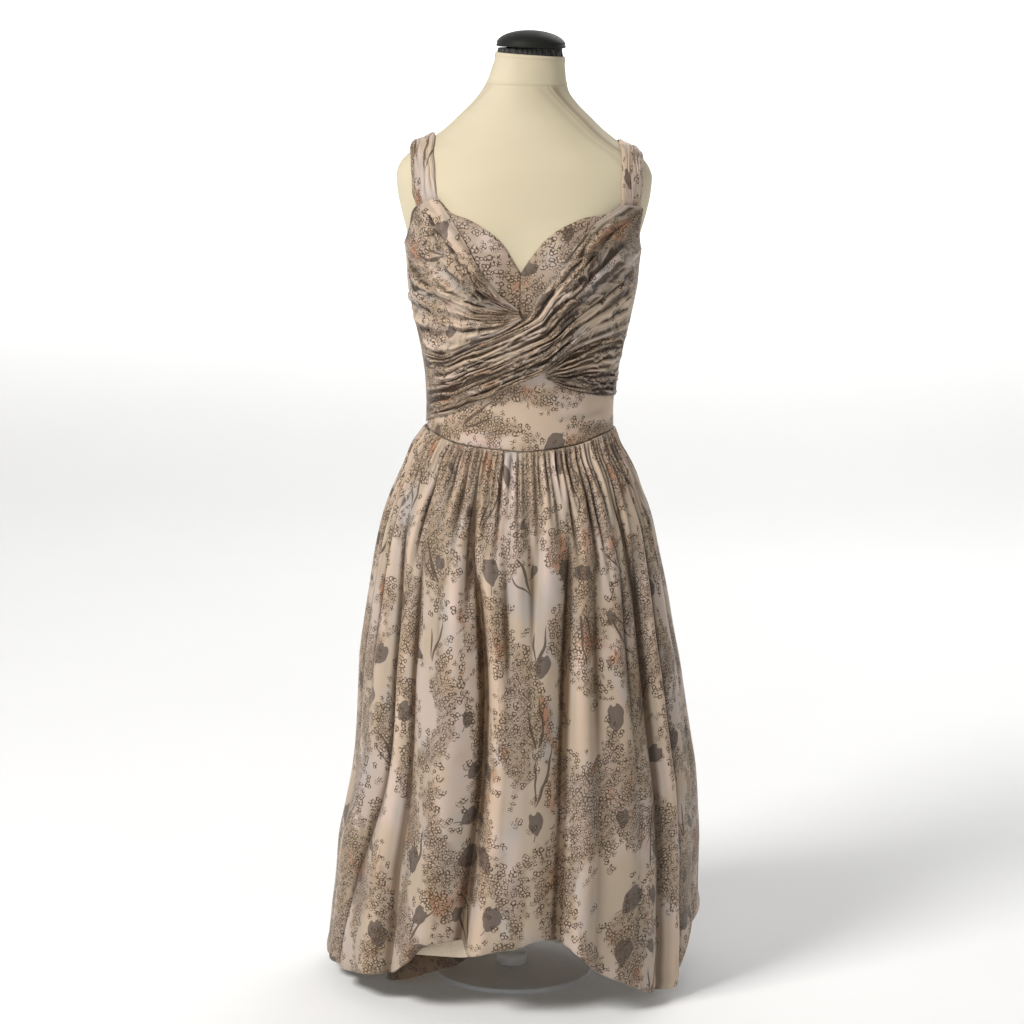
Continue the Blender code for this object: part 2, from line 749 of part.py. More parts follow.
for old in list(bpy.data.objects):
    bpy.data.objects.remove(old, do_unlink=True)
datum = bpy.data.objects.new("datum", None)
datum.location = (0.0, 0.0, DATUM)
bpy.context.scene.collection.objects.link(datum)

form_torso()
form_neck_cap()
form_stand()
bodice_panels()
for row in DRAPES:
    drape(*row)
for row in STRAPS:
    strap(*row)
skirt_panel("skirt_front", -90)
skirt_panel("skirt_back", 90)
skirt_lining()
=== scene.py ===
"""The looks of a sleeveless cocktail dress on its limbless dress form, in metres, +Z up, front toward -Y.

Left and right are as seen from the front, so left is -X. Angles run round the body from the front
centre, positive toward +X, in degrees. Heights are above a datum plane, which lies DATUM above the floor.
Cloth coordinates, which the print and the weave follow, are metres on the flat cloth.
"""

import math
from functools import partialmethod

import bpy
import numpy as np
from mathutils import Matrix, Vector


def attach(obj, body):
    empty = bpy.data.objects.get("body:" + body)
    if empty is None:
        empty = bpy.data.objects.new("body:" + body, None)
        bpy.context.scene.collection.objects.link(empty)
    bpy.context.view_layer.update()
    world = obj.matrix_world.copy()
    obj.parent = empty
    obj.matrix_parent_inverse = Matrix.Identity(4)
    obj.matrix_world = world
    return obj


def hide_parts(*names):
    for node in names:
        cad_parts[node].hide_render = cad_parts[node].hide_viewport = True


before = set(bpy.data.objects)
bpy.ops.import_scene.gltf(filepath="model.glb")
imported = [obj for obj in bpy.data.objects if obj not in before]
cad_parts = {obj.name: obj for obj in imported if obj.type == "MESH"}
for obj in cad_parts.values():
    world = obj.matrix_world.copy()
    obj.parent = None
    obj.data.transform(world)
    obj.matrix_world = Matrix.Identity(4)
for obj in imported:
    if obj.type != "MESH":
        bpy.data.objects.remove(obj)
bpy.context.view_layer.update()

DATUM = 0.016
SEAM = 0.0003
SEAM_ANGLE = 0.07  # half of the gap at a vertical seam, in degrees

# The dress form's torso: half width at the sides, depth to the front and to the back of its axis.
TORSO = (
    # height, half_width, front, back
    (0.500, 0.1280, 0.0850, 0.0950),
    (0.512, 0.1460, 0.0970, 0.1080),
    (0.545, 0.1560, 0.1060, 0.1190),
    (0.600, 0.1580, 0.1100, 0.1230),
    (0.660, 0.1510, 0.1050, 0.1130),
    (0.720, 0.1350, 0.0960, 0.0970),
    (0.770, 0.1255, 0.0915, 0.0870),
    (0.800, 0.1245, 0.0915, 0.0850),
    (0.840, 0.1265, 0.0945, 0.0860),
    (0.880, 0.1325, 0.0985, 0.0890),
    (0.930, 0.1440, 0.1050, 0.0950),
    (0.975, 0.1520, 0.1110, 0.1010),
    (1.010, 0.1550, 0.1130, 0.1050),
    (1.040, 0.1600, 0.1100, 0.1090),
    (1.070, 0.1680, 0.1010, 0.1100),
    (1.100, 0.1740, 0.0900, 0.1060),
    (1.120, 0.1755, 0.0800, 0.1010),
    (1.136, 0.1700, 0.0710, 0.0940),
    (1.152, 0.1550, 0.0630, 0.0860),
    (1.169, 0.1280, 0.0560, 0.0780),
    (1.185, 0.1070, 0.0520, 0.0710),
    (1.201, 0.0900, 0.0490, 0.0650),
    (1.218, 0.0725, 0.0470, 0.0600),
    (1.235, 0.0595, 0.0460, 0.0550),
    (1.251, 0.0535, 0.0450, 0.0510),
    (1.267, 0.0500, 0.0440, 0.0480),
    (1.281, 0.0470, 0.0430, 0.0450),
    (1.2935, 0.0455, 0.0430, 0.0430),
)
NECK_LEAN = (
    # height, how far the neck's middle leans toward +X
    (1.2350, 0.0000),
    (1.2620, 0.0030),
    (1.2800, 0.0048),
    (1.2935, 0.0052),
)
BUST_RISE = 0.034
BUST_OUT = 0.078  # of each apex from the centre
BUST_HEIGHT = 0.992
BUST_SPREAD = 0.052
BUST_SPREAD_UP = 0.055
BUST_FADE = 0.35  # cosine of the angle where the bust starts to fade to the side

NECK_SEAM = 1.2445  # height of the seam round the foot of the neck
JERSEY_TOP = 1.2852  # height of the jersey's edge, above which the tied cloth shows
JERSEY_TOP_LEAN = 0.0025
CAP_RADIUS = 0.0475
CAP_MIDDLE = 0.0064  # x of its centre, on the leaning neck
CAP_LIP = 0.004
CAP_DOME = 0.0190
CAP_TILT = 1.0
CAP_FOOT = 0.93  # radius of the lip's lower edge, as a share
CAP_SEAT = 0.86  # radius where it sits on the neck, as a share
CAP_CURVE = 84  # how far round the dome's quarter circle runs, in degrees
POLE_RADIUS = 0.014
BASE_RADIUS = 0.115
BASE_THICK = 0.008

# Cloth layers, as distances from the torso.
PANEL_OUT = 0.0030
PANEL_WALL = 0.0013
DRAPE_GAP = 0.0010
DRAPE_WALL = 0.0013
STRAP_OUT = 0.0022
STRAP_WALL = 0.0014

CUP_SEAM = 0.900  # height of the seam under the bust, hidden by the drapes
WAIST = (
    # angle, height
    (-180, 0.7725),
    (-90, 0.7710),
    (-60, 0.7650),
    (-43, 0.7590),
    (-27, 0.7555),
    (-8, 0.7530),
    (0, 0.7515),
    (16, 0.7540),
    (31, 0.7580),
    (43, 0.7625),
    (53, 0.7675),
    (70, 0.7720),
    (90, 0.7735),
    (180, 0.7725),
)
TOP_LEFT = (
    # angle, height of the neckline, strap and armhole edge of the left cup
    (-90, 1.0220),
    (-76, 1.0370),
    (-66, 1.0550),
    (-58, 1.0710),
    (-41, 1.0890),
    (-35, 1.0750),
    (-25, 1.0660),
    (-15.5, 1.0510),
    (-9.3, 1.0350),
    (-5.3, 1.0170),
    (-1, 0.9980),
)
TOP_RIGHT = (
    # angle, height of the neckline, strap and armhole edge of the right cup
    (-1, 0.9980),
    (3.9, 1.0190),
    (9.1, 1.0380),
    (16, 1.0550),
    (23, 1.0650),
    (30, 1.0720),
    (39.5, 1.0750),
    (49, 1.0830),
    (66.8, 1.0750),
    (70, 1.0530),
    (80, 1.0290),
    (90, 1.0220),
)
TOP_BACK = (
    # angle, height of the back's top edge, the same on both sides
    (90, 1.0220),
    (110, 1.0300),
    (131, 1.0440),
    (149, 1.0440),
    (162, 1.0270),
    (180, 1.0200),
)
CENTRE_ANGLE = -1.0  # of the bottom of the sweetheart neckline

# Drapes. Each lies on the panels between four edges, as (angle, height) points. Folds run along it.
CUP_DRAPE = {
    "first": ((-2.2, 0.9490), (-12.4, 0.9720), (-19.3, 0.9960), (-27.5, 1.0380), (-41.0, 1.0870)),
    "last": ((-0.2, 0.9345), (-9.7, 0.9170), (-28.8, 0.8965), (-53.3, 0.8760), (-89.9, 0.8800)),
    "start": ((-2.2, 0.9490), (-0.2, 0.9345)),
    "end": (
        (-41.0, 1.0870),
        (-58.0, 1.0690),
        (-66.0, 1.0530),
        (-76.0, 1.0350),
        (-89.9, 1.0200),
        (-89.9, 0.9400),
        (-89.9, 0.8800),
    ),
}
WRAP_DRAPE = {
    "first": (
        (-89.9, 0.8788),
        (-53.3, 0.8748),
        (-28.8, 0.8953),
        (-9.7, 0.9158),
        (1.1, 0.9333),
        (3.6, 0.9400),
        (6.5, 0.9590),
        (12.2, 0.9840),
        (20.3, 1.0180),
        (31.8, 1.0600),
        (49.0, 1.0800),
    ),
    "last": (
        (-89.9, 0.7770),
        (-61.0, 0.7920),
        (-44.7, 0.8010),
        (-33.0, 0.8140),
        (-18.2, 0.8260),
        (-4.1, 0.8430),
        (12.3, 0.8610),
        (27.4, 0.8900),
        (47.6, 0.9070),
        (89.9, 0.9160),
    ),
    "start": ((-89.9, 0.8788), (-89.9, 0.7770)),
    "end": (
        (49.0, 1.0800),
        (66.3, 1.0730),
        (69.5, 1.0520),
        (80.0, 1.0270),
        (89.9, 1.0200),
        (89.9, 0.9700),
        (89.9, 0.9160),
    ),
}
SIDE_DRAPE = {
    "first": ((14.0, 0.8618), (27.4, 0.8885), (47.6, 0.9056), (89.9, 0.9146)),
    "last": ((14.4, 0.8530), (27.3, 0.8380), (39.2, 0.8310), (63.6, 0.8230), (89.9, 0.8200)),
    "start": ((14.0, 0.8618), (14.4, 0.8530)),
    "end": ((89.9, 0.9146), (89.9, 0.8200)),
}

STRAP_BACK_ANGLES = (148.5, 131.5)
STRAP_CENTRE = (0.010, 1.015)  # y, z of the line that the strap's angle is taken from

# Skirt: its outline at the fold crests, by the drop below the waist seam.
SKIRT = (
    # drop, left, right, front, back
    (0.000, 0.1350, 0.1325, 0.1010, 0.0950),
    (0.010, 0.1420, 0.1370, 0.1050, 0.1010),
    (0.022, 0.1505, 0.1415, 0.1110, 0.1080),
    (0.038, 0.1575, 0.1510, 0.1200, 0.1170),
    (0.056, 0.1645, 0.1610, 0.1290, 0.1270),
    (0.089, 0.1790, 0.1740, 0.1410, 0.1420),
    (0.124, 0.1910, 0.1875, 0.1540, 0.1560),
    (0.174, 0.2020, 0.2005, 0.1690, 0.1720),
    (0.224, 0.2095, 0.2125, 0.1810, 0.1840),
    (0.276, 0.2175, 0.2230, 0.1920, 0.1940),
    (0.329, 0.2240, 0.2345, 0.2020, 0.2040),
    (0.380, 0.2260, 0.2430, 0.2100, 0.2120),
    (0.434, 0.2285, 0.2520, 0.2170, 0.2200),
    (0.484, 0.2335, 0.2600, 0.2240, 0.2260),
    (0.537, 0.2435, 0.2640, 0.2300, 0.2320),
    (0.589, 0.2540, 0.2670, 0.2350, 0.2360),
    (0.644, 0.2585, 0.2670, 0.2370, 0.2390),
    (0.704, 0.2655, 0.2690, 0.2400, 0.2410),
    (0.774, 0.2710, 0.2660, 0.2410, 0.2420),
)
HEM = (
    # angle, height
    (-180, 0.0300),
    (-150, 0.0220),
    (-120, 0.0280),
    (-105, 0.0120),
    (-90, 0.0060),
    (-75, 0.0080),
    (-50, 0.0230),
    (-43, 0.0290),
    (-39, 0.0360),
    (-35, 0.0490),
    (-31, 0.0640),
    (-27.5, 0.0830),
    (-21, 0.0905),
    (-17.5, 0.0920),
    (-14, 0.0750),
    (-9.5, 0.0800),
    (-3.5, 0.0870),
    (0.8, 0.0905),
    (8, 0.0990),
    (15, 0.0940),
    (20, 0.0760),
    (26, 0.0520),
    (36, 0.0280),
    (52, 0.0010),
    (60, 0.0010),
    (70, 0.0400),
    (78, 0.0700),
    (90, 0.0800),
    (110, 0.0480),
    (140, 0.0300),
    (180, 0.0300),
)
SKIRT_FOLDS = (
    # angle at the waist, halfway, at the hem, half width in degrees, drop where it starts,
    # depth halfway, depth at the hem
    (-80, -79, -84, 3.6, 0.06, 0.008, 0.010),
    (-60, -52, -71, 3.6, 0.03, 0.014, 0.016),
    (-68, -66, -58, 3.2, 0.08, 0.006, 0.008),
    (-45, -41, -43, 3.2, 0.04, 0.014, 0.018),
    (-34, -30, -31, 3.6, 0.06, 0.007, 0.006),
    (-27, -12, -18, 3.2, 0.05, 0.022, 0.024),
    (-8, -3, -5, 3.0, 0.05, 0.008, 0.004),
    (7, 5, 3, 3.0, 0.04, 0.008, 0.004),
    (26, 17, 13, 3.4, 0.03, 0.016, 0.022),
    (37, 29, 26, 3.6, 0.06, 0.007, 0.008),
    (50, 43, 41, 3.2, 0.04, 0.012, 0.010),
    (61, 52, 53, 3.0, 0.05, 0.014, 0.016),
    (71, 64, 65, 3.2, 0.07, 0.010, 0.012),
    (82, 78, 78, 3.4, 0.08, 0.008, 0.010),
    (96, 94, 96, 3.6, 0.06, 0.009, 0.011),
    (109, 107, 109, 3.6, 0.05, 0.014, 0.018),
    (121, 122, 122, 3.4, 0.08, 0.009, 0.012),
    (133, 134, 137, 3.8, 0.04, 0.017, 0.021),
    (147, 147, 150, 3.4, 0.10, 0.009, 0.012),
    (162, 163, 164, 3.6, 0.04, 0.015, 0.019),
    (177, 178, 177, 3.8, 0.08, 0.010, 0.012),
    (191, 191, 190, 3.6, 0.04, 0.017, 0.020),
    (205, 204, 203, 3.4, 0.07, 0.010, 0.014),
    (217, 218, 219, 3.8, 0.05, 0.015, 0.017),
    (233, 232, 231, 3.6, 0.09, 0.008, 0.012),
    (246, 246, 245, 3.8, 0.05, 0.015, 0.019),
    (262, 261, 259, 3.6, 0.07, 0.009, 0.012),
)
FOLD_HALF_DROP = 0.34
FOLD_HEM_DROP = 0.72

LINING_TOP = 0.002
LINING_CLEAR = (
    # drop, distance inside the skirt's crests
    (0.000, 0.0052),
    (0.012, 0.0080),
    (0.100, 0.0130),
    (0.250, 0.0260),
    (0.420, 0.0340),
    (0.800, 0.0340),
)
LINING_HEM = (
    # angle, height
    (-180, 0.0640),
    (-90, 0.0560),
    (-45, 0.0560),
    (-31, 0.0600),
    (-16, 0.0650),
    (-12, 0.0740),
    (-4, 0.0840),
    (20, 0.1240),
    (60, 0.1060),
    (90, 0.1060),
    (180, 0.0640),
)
FACING_HEM = (
    # angle, height of the printed facing that shows under the lining at the left front
    (-50, 0.0080),
    (-43, 0.0130),
    (-36, 0.0230),
    (-30, 0.0340),
    (-20, 0.0500),
    (-14, 0.0680),
    (-8, 0.0800),
)
FACING_INSIDE = 0.0415
FACING_TALL = 0.050

# Gathers at the waist seam: fine troughs, each with its own place, depth and length.
GATHERS = (
    # panel, first angle, gathers, small tucks between them, seed, columns, rows
    ("skirt_front", -90, 54, 70, 11, 440, 200),
    ("skirt_back", 90, 48, 50, 29, 300, 150),
)
GATHER_HALF = (0.60, 1.15)  # least and most half width at the seam, in degrees
GATHER_DEPTH = (0.0050, 0.0105)
GATHER_LENGTH = (0.075, 0.340)
GATHER_SPREAD = 0.13  # drop over which a gather doubles its width
LINING_GAP = 0.0022  # least space between the gathers and the lining
TUCK_HALF = (0.35, 0.60)
TUCK_DEPTH = (0.0008, 0.0020)
TUCK_LENGTH = (0.018, 0.050)
FOLD_DEEPER = 1.15  # than the solid's folds
SHADE_REACH = 5.0  # degrees round the skirt over which a fold's shade is found
SHADE_DEPTH = 0.0044  # depth of the darkest valleys of the skirt
SHADE_FADE = 0.35  # toward the hem, where the folds are broader
FOLD_SHARP = 1.15  # 2 is a round trough, and less is a sharper one
FOLD_SWELL = 0.30  # of the lobe at each side of a fold, as a share of its depth
WAVES = (
    # per degree, per metre of drop, phase, height at the hem
    (0.155, 5.1, 0.4, 0.0036),
    (0.290, -3.7, 2.1, 0.0020),
    (0.610, 4.3, 4.0, 0.0007),
)
HEM_ROLL = 0.0026
HEM_TURN_UP = 0.018
HEM_ROLL_STEPS = 6
SKIRT_FLAT_RADIUS = 0.262  # cloth metres for a radian round the skirt

OVER_STRAP = 0.008  # how far a drape's end stands up over a strap's foot


def lifted(edges, first, last):
    """The same edges, with the end raised from one angle to the other, to lie over a strap's foot."""
    end = tuple((a, h + OVER_STRAP * (first <= a <= last)) for a, h in edges["end"])
    return {**edges, "end": end, "first": edges["first"][:-1] + end[:1]}


# The drapes, as thin cloth with its own uneven folds.
DRAPES = (
    # node, edges, fine tucks, rows, columns, height of the folds, share of their shade, lean,
    # lifts at start, half and end, width and length of the cloth, seed
    ("drape_cup_left", lifted(CUP_DRAPE, -58, -41), 13, 130, 190, 0.0092, 0.90, 1,
     (0.003, 0.001, 0.0), 0.22, 0.24, 3),
    ("drape_wrap", lifted(WRAP_DRAPE, 49, 66.3), 15, 190, 180, 0.0088, 1.00, -1,
     (0.0, 0.004, 0.0), 0.22, 0.40, 5),
    ("drape_side_right", SIDE_DRAPE, 9, 90, 130, 0.0070, 1.00, -1,
     (0.002, 0.0005, 0.0), 0.13, 0.15, 8),
)
RIDGES = {
    # drape: rows of place across at the start, halfway and at the end, half width, height,
    # and from where to where along it
    "drape_cup_left": (
        (0.08, 0.035, 0.030, 0.030, 0.80, 0.00, 1.10),
        (0.17, 0.095, 0.075, 0.024, 1.00, 0.00, 1.00),
        (0.25, 0.155, 0.120, 0.022, 0.85, 0.00, 0.85),
        (0.32, 0.215, 0.160, 0.026, 0.95, 0.00, 0.70),
        (0.40, 0.320, 0.250, 0.060, 0.60, 0.10, 1.10),
        (0.46, 0.425, 0.370, 0.026, 0.75, 0.00, 0.66),
        (0.52, 0.500, 0.500, 0.040, 0.90, 0.05, 0.98),
        (0.60, 0.580, 0.610, 0.022, 0.75, 0.00, 0.60),
        (0.66, 0.640, 0.690, 0.038, 0.95, 0.08, 1.10),
        (0.75, 0.735, 0.770, 0.024, 0.80, 0.00, 0.72),
        (0.82, 0.800, 0.850, 0.040, 1.00, 0.04, 1.00),
        (0.90, 0.890, 0.915, 0.022, 0.75, 0.00, 0.80),
        (0.96, 0.955, 0.965, 0.026, 0.95, 0.02, 1.10),
    ),
    "drape_wrap": (
        (0.03, 0.030, 0.030, 0.022, 0.85, 0.30, 1.10),
        (0.10, 0.090, 0.085, 0.028, 1.00, 0.12, 1.00),
        (0.16, 0.175, 0.200, 0.055, 0.55, 0.40, 1.05),
        (0.20, 0.235, 0.290, 0.020, 0.80, 0.22, 0.78),
        (0.27, 0.300, 0.350, 0.034, 1.00, 0.05, 0.95),
        (0.35, 0.370, 0.420, 0.020, 0.75, 0.20, 0.70),
        (0.42, 0.430, 0.480, 0.038, 0.95, 0.10, 1.10),
        (0.50, 0.505, 0.560, 0.022, 0.80, 0.15, 0.86),
        (0.57, 0.570, 0.620, 0.032, 1.00, 0.03, 0.97),
        (0.65, 0.640, 0.680, 0.020, 0.75, 0.22, 0.75),
        (0.71, 0.705, 0.740, 0.036, 0.95, 0.08, 1.10),
        (0.79, 0.775, 0.800, 0.022, 0.80, 0.18, 0.84),
        (0.85, 0.840, 0.860, 0.032, 1.00, 0.05, 0.96),
        (0.92, 0.910, 0.915, 0.020, 0.80, 0.15, 0.90),
        (0.975, 0.970, 0.970, 0.022, 1.00, 0.02, 1.10),
    ),
    "drape_side_right": (
        (0.06, 0.050, 0.040, 0.035, 0.85, 0.00, 1.10),
        (0.20, 0.170, 0.150, 0.050, 1.00, 0.02, 0.90),
        (0.33, 0.290, 0.270, 0.032, 0.75, 0.05, 1.10),
        (0.47, 0.430, 0.410, 0.050, 0.95, 0.00, 1.00),
        (0.60, 0.560, 0.540, 0.032, 0.80, 0.05, 0.70),
        (0.72, 0.700, 0.690, 0.050, 1.00, 0.02, 1.10),
        (0.84, 0.820, 0.820, 0.030, 0.75, 0.10, 0.85),
        (0.95, 0.940, 0.945, 0.036, 0.95, 0.00, 1.10),
    ),
}
CRUMPLE_SHARE = 0.70  # height of the sharp small creases, as a share of a fold's
DRAPE_SHADE_REACH = 0.052  # share of a drape's width over which a fold's shade is found
DRAPE_SHADE_DEPTH = 0.21  # depth of the darkest valleys, as a share of the folds' height
DRAPE_PAINTED_SHADE = {  # painted shade over the whole drape, on top of its folds': paler on the left cup, where the light falls, and deeper toward the right, which lies in shade
    "drape_cup_left": -0.22,
    "drape_wrap": 0.20,
    "drape_side_right": 0.46,
}
RIDGE_SHARE = 0.88  # of a drape's depth; the rest is fine tucks
PUCKERS = {
    # drape: rows of place along, place across, turn in degrees, half length, half width, height in metres
    "drape_wrap": (
        (0.645, 0.330, 62, 0.045, 0.016, 0.0042),
        (0.685, 0.300, 70, 0.050, 0.015, 0.0046),
        (0.725, 0.345, 58, 0.045, 0.016, 0.0040),
        (0.790, 0.250, 50, 0.040, 0.018, 0.0032),
        (0.300, 0.140, -40, 0.035, 0.016, 0.0026),
    ),
    "drape_cup_left": (
        (0.620, 0.480, 55, 0.060, 0.020, 0.0034),
        (0.700, 0.560, 48, 0.060, 0.022, 0.0034),
        (0.560, 0.660, -50, 0.055, 0.018, 0.0030),
        (0.780, 0.700, 52, 0.055, 0.020, 0.0030),
        (0.820, 0.180, 35, 0.060, 0.018, 0.0026),
    ),
}
FOLD_END_SHARE = 0.30  # of a fold's height, where it is sewn down
FOLD_END_LENGTH = 0.16  # share of the drape's length over which it rises from there
STRAPS = (
    # node, inner and outer angle in front, inner and outer x on the shoulder, inner and outer lift, seed
    ("strap_left", -42.0, -57.5, -0.121, -0.155, 0.0016, 0.0080, 13),
    ("strap_right", 50.0, 66.3, 0.124, 0.158, 0.0006, 0.0056, 17),
)
STRAP_FOLDS = 5
STRAP_FOLD_DEPTH = 0.0027
STRAP_ROWS = 110
STRAP_COLUMNS = 56
CREASES = (
    # angle, height, angle, height, half width, depth of a soft trough in the smooth midriff
    (14, 0.8290, 40, 0.8180, 0.0060, 0.0016),
    (22, 0.7960, 62, 0.8060, 0.0050, 0.0014),
    (-30, 0.7900, -8, 0.8020, 0.0060, 0.0008),
    (-70, 0.7850, -44, 0.7800, 0.0045, 0.0010),
    (40, 0.7800, 80, 0.7870, 0.0045, 0.0009),
)
CLOTH_ROUND = 0.135  # cloth metres for a radian round the bodice
EDGE_RADIUS = 0.13  # metres for a radian round the bodice, near enough to space an edge's points


class Curve:
    """A smooth curve through a table's rows by their first column, which never overshoots a row."""

    def __init__(self, rows):
        data = np.array(rows, float)
        self.keys = data[:, 0]
        self.values = data[:, 1:]
        steps = np.diff(self.keys)[:, None]
        slopes = np.diff(self.values, axis=0) / steps
        same_way = slopes[:-1] * slopes[1:] > 0
        total = np.where(same_way, slopes[:-1] + slopes[1:], 1.0)
        self.slopes = np.zeros_like(self.values)
        self.slopes[1:-1] = np.where(same_way, 2 * slopes[:-1] * slopes[1:] / total, 0.0)
        self.slopes[0] = slopes[0]
        self.slopes[-1] = slopes[-1]

    def __call__(self, key):
        """The value of each column at every key: one array, or one for each column."""
        key = np.clip(np.asarray(key, float), self.keys[0], self.keys[-1])
        i = np.clip(np.searchsorted(self.keys, key, side="right") - 1, 0, len(self.keys) - 2)
        step = (self.keys[i + 1] - self.keys[i])[..., None]
        t = (key - self.keys[i])[..., None] / step
        start = (1 + 2 * t) * (1 - t) ** 2 * self.values[i] + t * (1 - t) ** 2 * step * self.slopes[i]
        end = t * t * (3 - 2 * t) * self.values[i + 1] + t * t * (t - 1) * step * self.slopes[i + 1]
        columns = np.moveaxis(start + end, -1, 0)
        return columns[0] if len(columns) == 1 else columns


def smooth(t):
    """0 up to 0, 1 from 1 on, and smooth between them."""
    t = np.clip(t, 0.0, 1.0)
    return t * t * (3 - 2 * t)


def bell(off, width):
    """1 in the middle, which falls off smoothly on both sides."""
    return np.exp(-((off / width) ** 2))


def from_ends(share, reach):
    """0 at both ends of a share from 0 to 1, and 1 from `reach` inside them."""
    return smooth(np.minimum(share, 1 - share) / reach)


def edge(points):
    """A curve through (angle, height) points, by the share of its length."""
    run = [0.0]
    for (a0, h0), (a1, h1) in zip(points, points[1:]):
        run.append(run[-1] + math.hypot(math.radians(a1 - a0) * EDGE_RADIUS, h1 - h0))
    return Curve([(r / run[-1], a, h) for r, (a, h) in zip(run, points)])


torso_at = Curve(TORSO)
lean_at = Curve(NECK_LEAN)
waist_at = Curve(WAIST)
hem_at = Curve(HEM)
skirt_at = Curve(SKIRT)
lining_clear_at = Curve(LINING_CLEAR)
lining_hem_at = Curve(LINING_HEM)
facing_hem_at = Curve(FACING_HEM)
top_left_at = Curve(TOP_LEFT)
top_right_at = Curve(TOP_RIGHT)
top_back_at = Curve(TOP_BACK)


def turned(angle):
    """The same angle between -180 and 180."""
    return (angle + 180) % 360 - 180


def bust(x, height):
    """How far the bust stands forward of the plain section."""
    sides = sum(bell(x - side * BUST_OUT, BUST_SPREAD) for side in (-1, 1))
    return BUST_RISE * bell(height - BUST_HEIGHT, BUST_SPREAD_UP) * sides


def skin(angle, height, out=0.0):
    """The points at these angles and heights, this far outside the torso, in the scene's frame."""
    angle, height, out = np.broadcast_arrays(angle, height, out)
    half_width, front, back = torso_at(height)
    sine = np.sin(np.radians(angle))
    cosine = np.cos(np.radians(angle))
    x = (half_width + out) * sine + lean_at(height)
    forward = (front + out) * cosine + bust(x, height) * smooth(cosine / BUST_FADE)
    y = -np.where(cosine > 0, forward, (back + out) * cosine)
    return np.stack([x, y, height + DATUM], axis=-1)


# Meshes

SPARE_ANYWHERE = 0.04  # how evenly a gathered cloth's spare width lies, against what its valleys take
RIM_OUT = 0.42  # how far a rounded edge stands out, as a share of the wall


def mesh_piece(name, points, faces, cloth, shade, finish):
    """A smooth mesh with its cloth coordinates, and the painted shade of each point, mostly from how deep in
    a fold it lies.
    """
    mesh = bpy.data.meshes.new(name)
    mesh.from_pydata(points.reshape(-1, 3), [], faces)
    corners = np.empty(len(mesh.loops), np.int32)
    mesh.loops.foreach_get("vertex_index", corners)
    layer = mesh.uv_layers.new(name="cloth")
    layer.data.foreach_set("uv", cloth.reshape(-1, 2)[corners].astype(np.float32).ravel())
    depth = mesh.attributes.new("fold_shade", "FLOAT", "POINT")
    depth.data.foreach_set("value", np.clip(shade, -1, 1).astype(np.float32).ravel())
    mesh.shade_smooth()
    mesh.materials.append(finish)
    made = bpy.data.objects.new(name, mesh)
    bpy.context.scene.collection.objects.link(made)
    return made


def cloth_across(points, valley, wide):
    """The cloth's place across: as it lies on the crests, with its spare width taken up in the valleys."""
    step = np.linalg.norm(np.diff(points, axis=1), axis=-1)
    spare = np.maximum(wide - step.sum(axis=1, keepdims=True), 0)
    taken = np.clip((valley[:, 1:] + valley[:, :-1]) / 2, 0, 1) + SPARE_ANYWHERE
    step = step + spare * taken / taken.sum(axis=1, keepdims=True)
    run = np.cumsum(np.pad(step, [(0, 0), (1, 0)]), axis=1)
    return run * wide / run[:, -1:]


def quads(rows, columns, first=0, flip=False):
    """The quads of a grid whose points start at `first`."""
    at = first + np.arange(rows * columns).reshape(rows, columns)
    corners = [at[:-1, :-1], at[:-1, 1:], at[1:, 1:], at[1:, :-1]]
    if flip:
        corners.reverse()
    return np.stack(corners, axis=-1).reshape(-1, 4).tolist()


def unit(vectors):
    """The same directions, one long."""
    return vectors / np.maximum(np.linalg.norm(vectors, axis=-1, keepdims=True), 1e-9)


def normals(grid, core):
    """Unit normals of a grid of points, away from `core`."""
    normal = unit(np.cross(np.gradient(grid, axis=1), np.gradient(grid, axis=0)))
    return -normal if (normal * (grid - core)).sum() < 0 else normal


def core_line(grid):
    """The point of the body's axis that is level with each point."""
    core = grid.copy()
    core[..., :2] = 0.0
    return core


def shell(name, grid, cloth, shade, wall, finish, core=None):
    """Cloth with two faces and a rounded edge all round."""
    rows, columns = grid.shape[:2]
    size = rows * columns
    normal = normals(grid, core_line(grid) if core is None else core)
    flat = grid.reshape(-1, 3)
    inner = (grid - wall * normal).reshape(-1, 3)
    at = np.arange(size).reshape(rows, columns)
    ring = np.concatenate([at[0, :-1], at[:-1, -1], at[-1, :0:-1], at[:0:-1, 0]])
    inward = np.concatenate([at[1, :-1], at[:-1, -2], at[-2, :0:-1], at[:0:-1, 1]])
    rim = (flat[ring] + inner[ring]) / 2 + unit(flat[ring] - flat[inward]) * wall * RIM_OUT
    outer_first = (np.cross(flat[1] - flat[0], flat[columns] - flat[0]) * normal.reshape(-1, 3)[0]).sum() > 0
    faces = quads(rows, columns, 0, flip=not outer_first) + quads(rows, columns, size, flip=outer_first)
    for k in range(len(ring)):
        n = (k + 1) % len(ring)
        sides = [
            [ring[k], ring[n], 2 * size + n, 2 * size + k],
            [2 * size + k, 2 * size + n, size + ring[n], size + ring[k]],
        ]
        faces += [[int(c) for c in (side[::-1] if outer_first else side)] for side in sides]
    cloth = cloth.reshape(-1, 2)
    shade = shade.ravel()
    points = np.concatenate([flat, inner, rim])
    cloths = np.concatenate([cloth, cloth, cloth[ring]])
    return mesh_piece(name, points, faces, cloths, np.concatenate([shade, shade, shade[ring]]), finish)


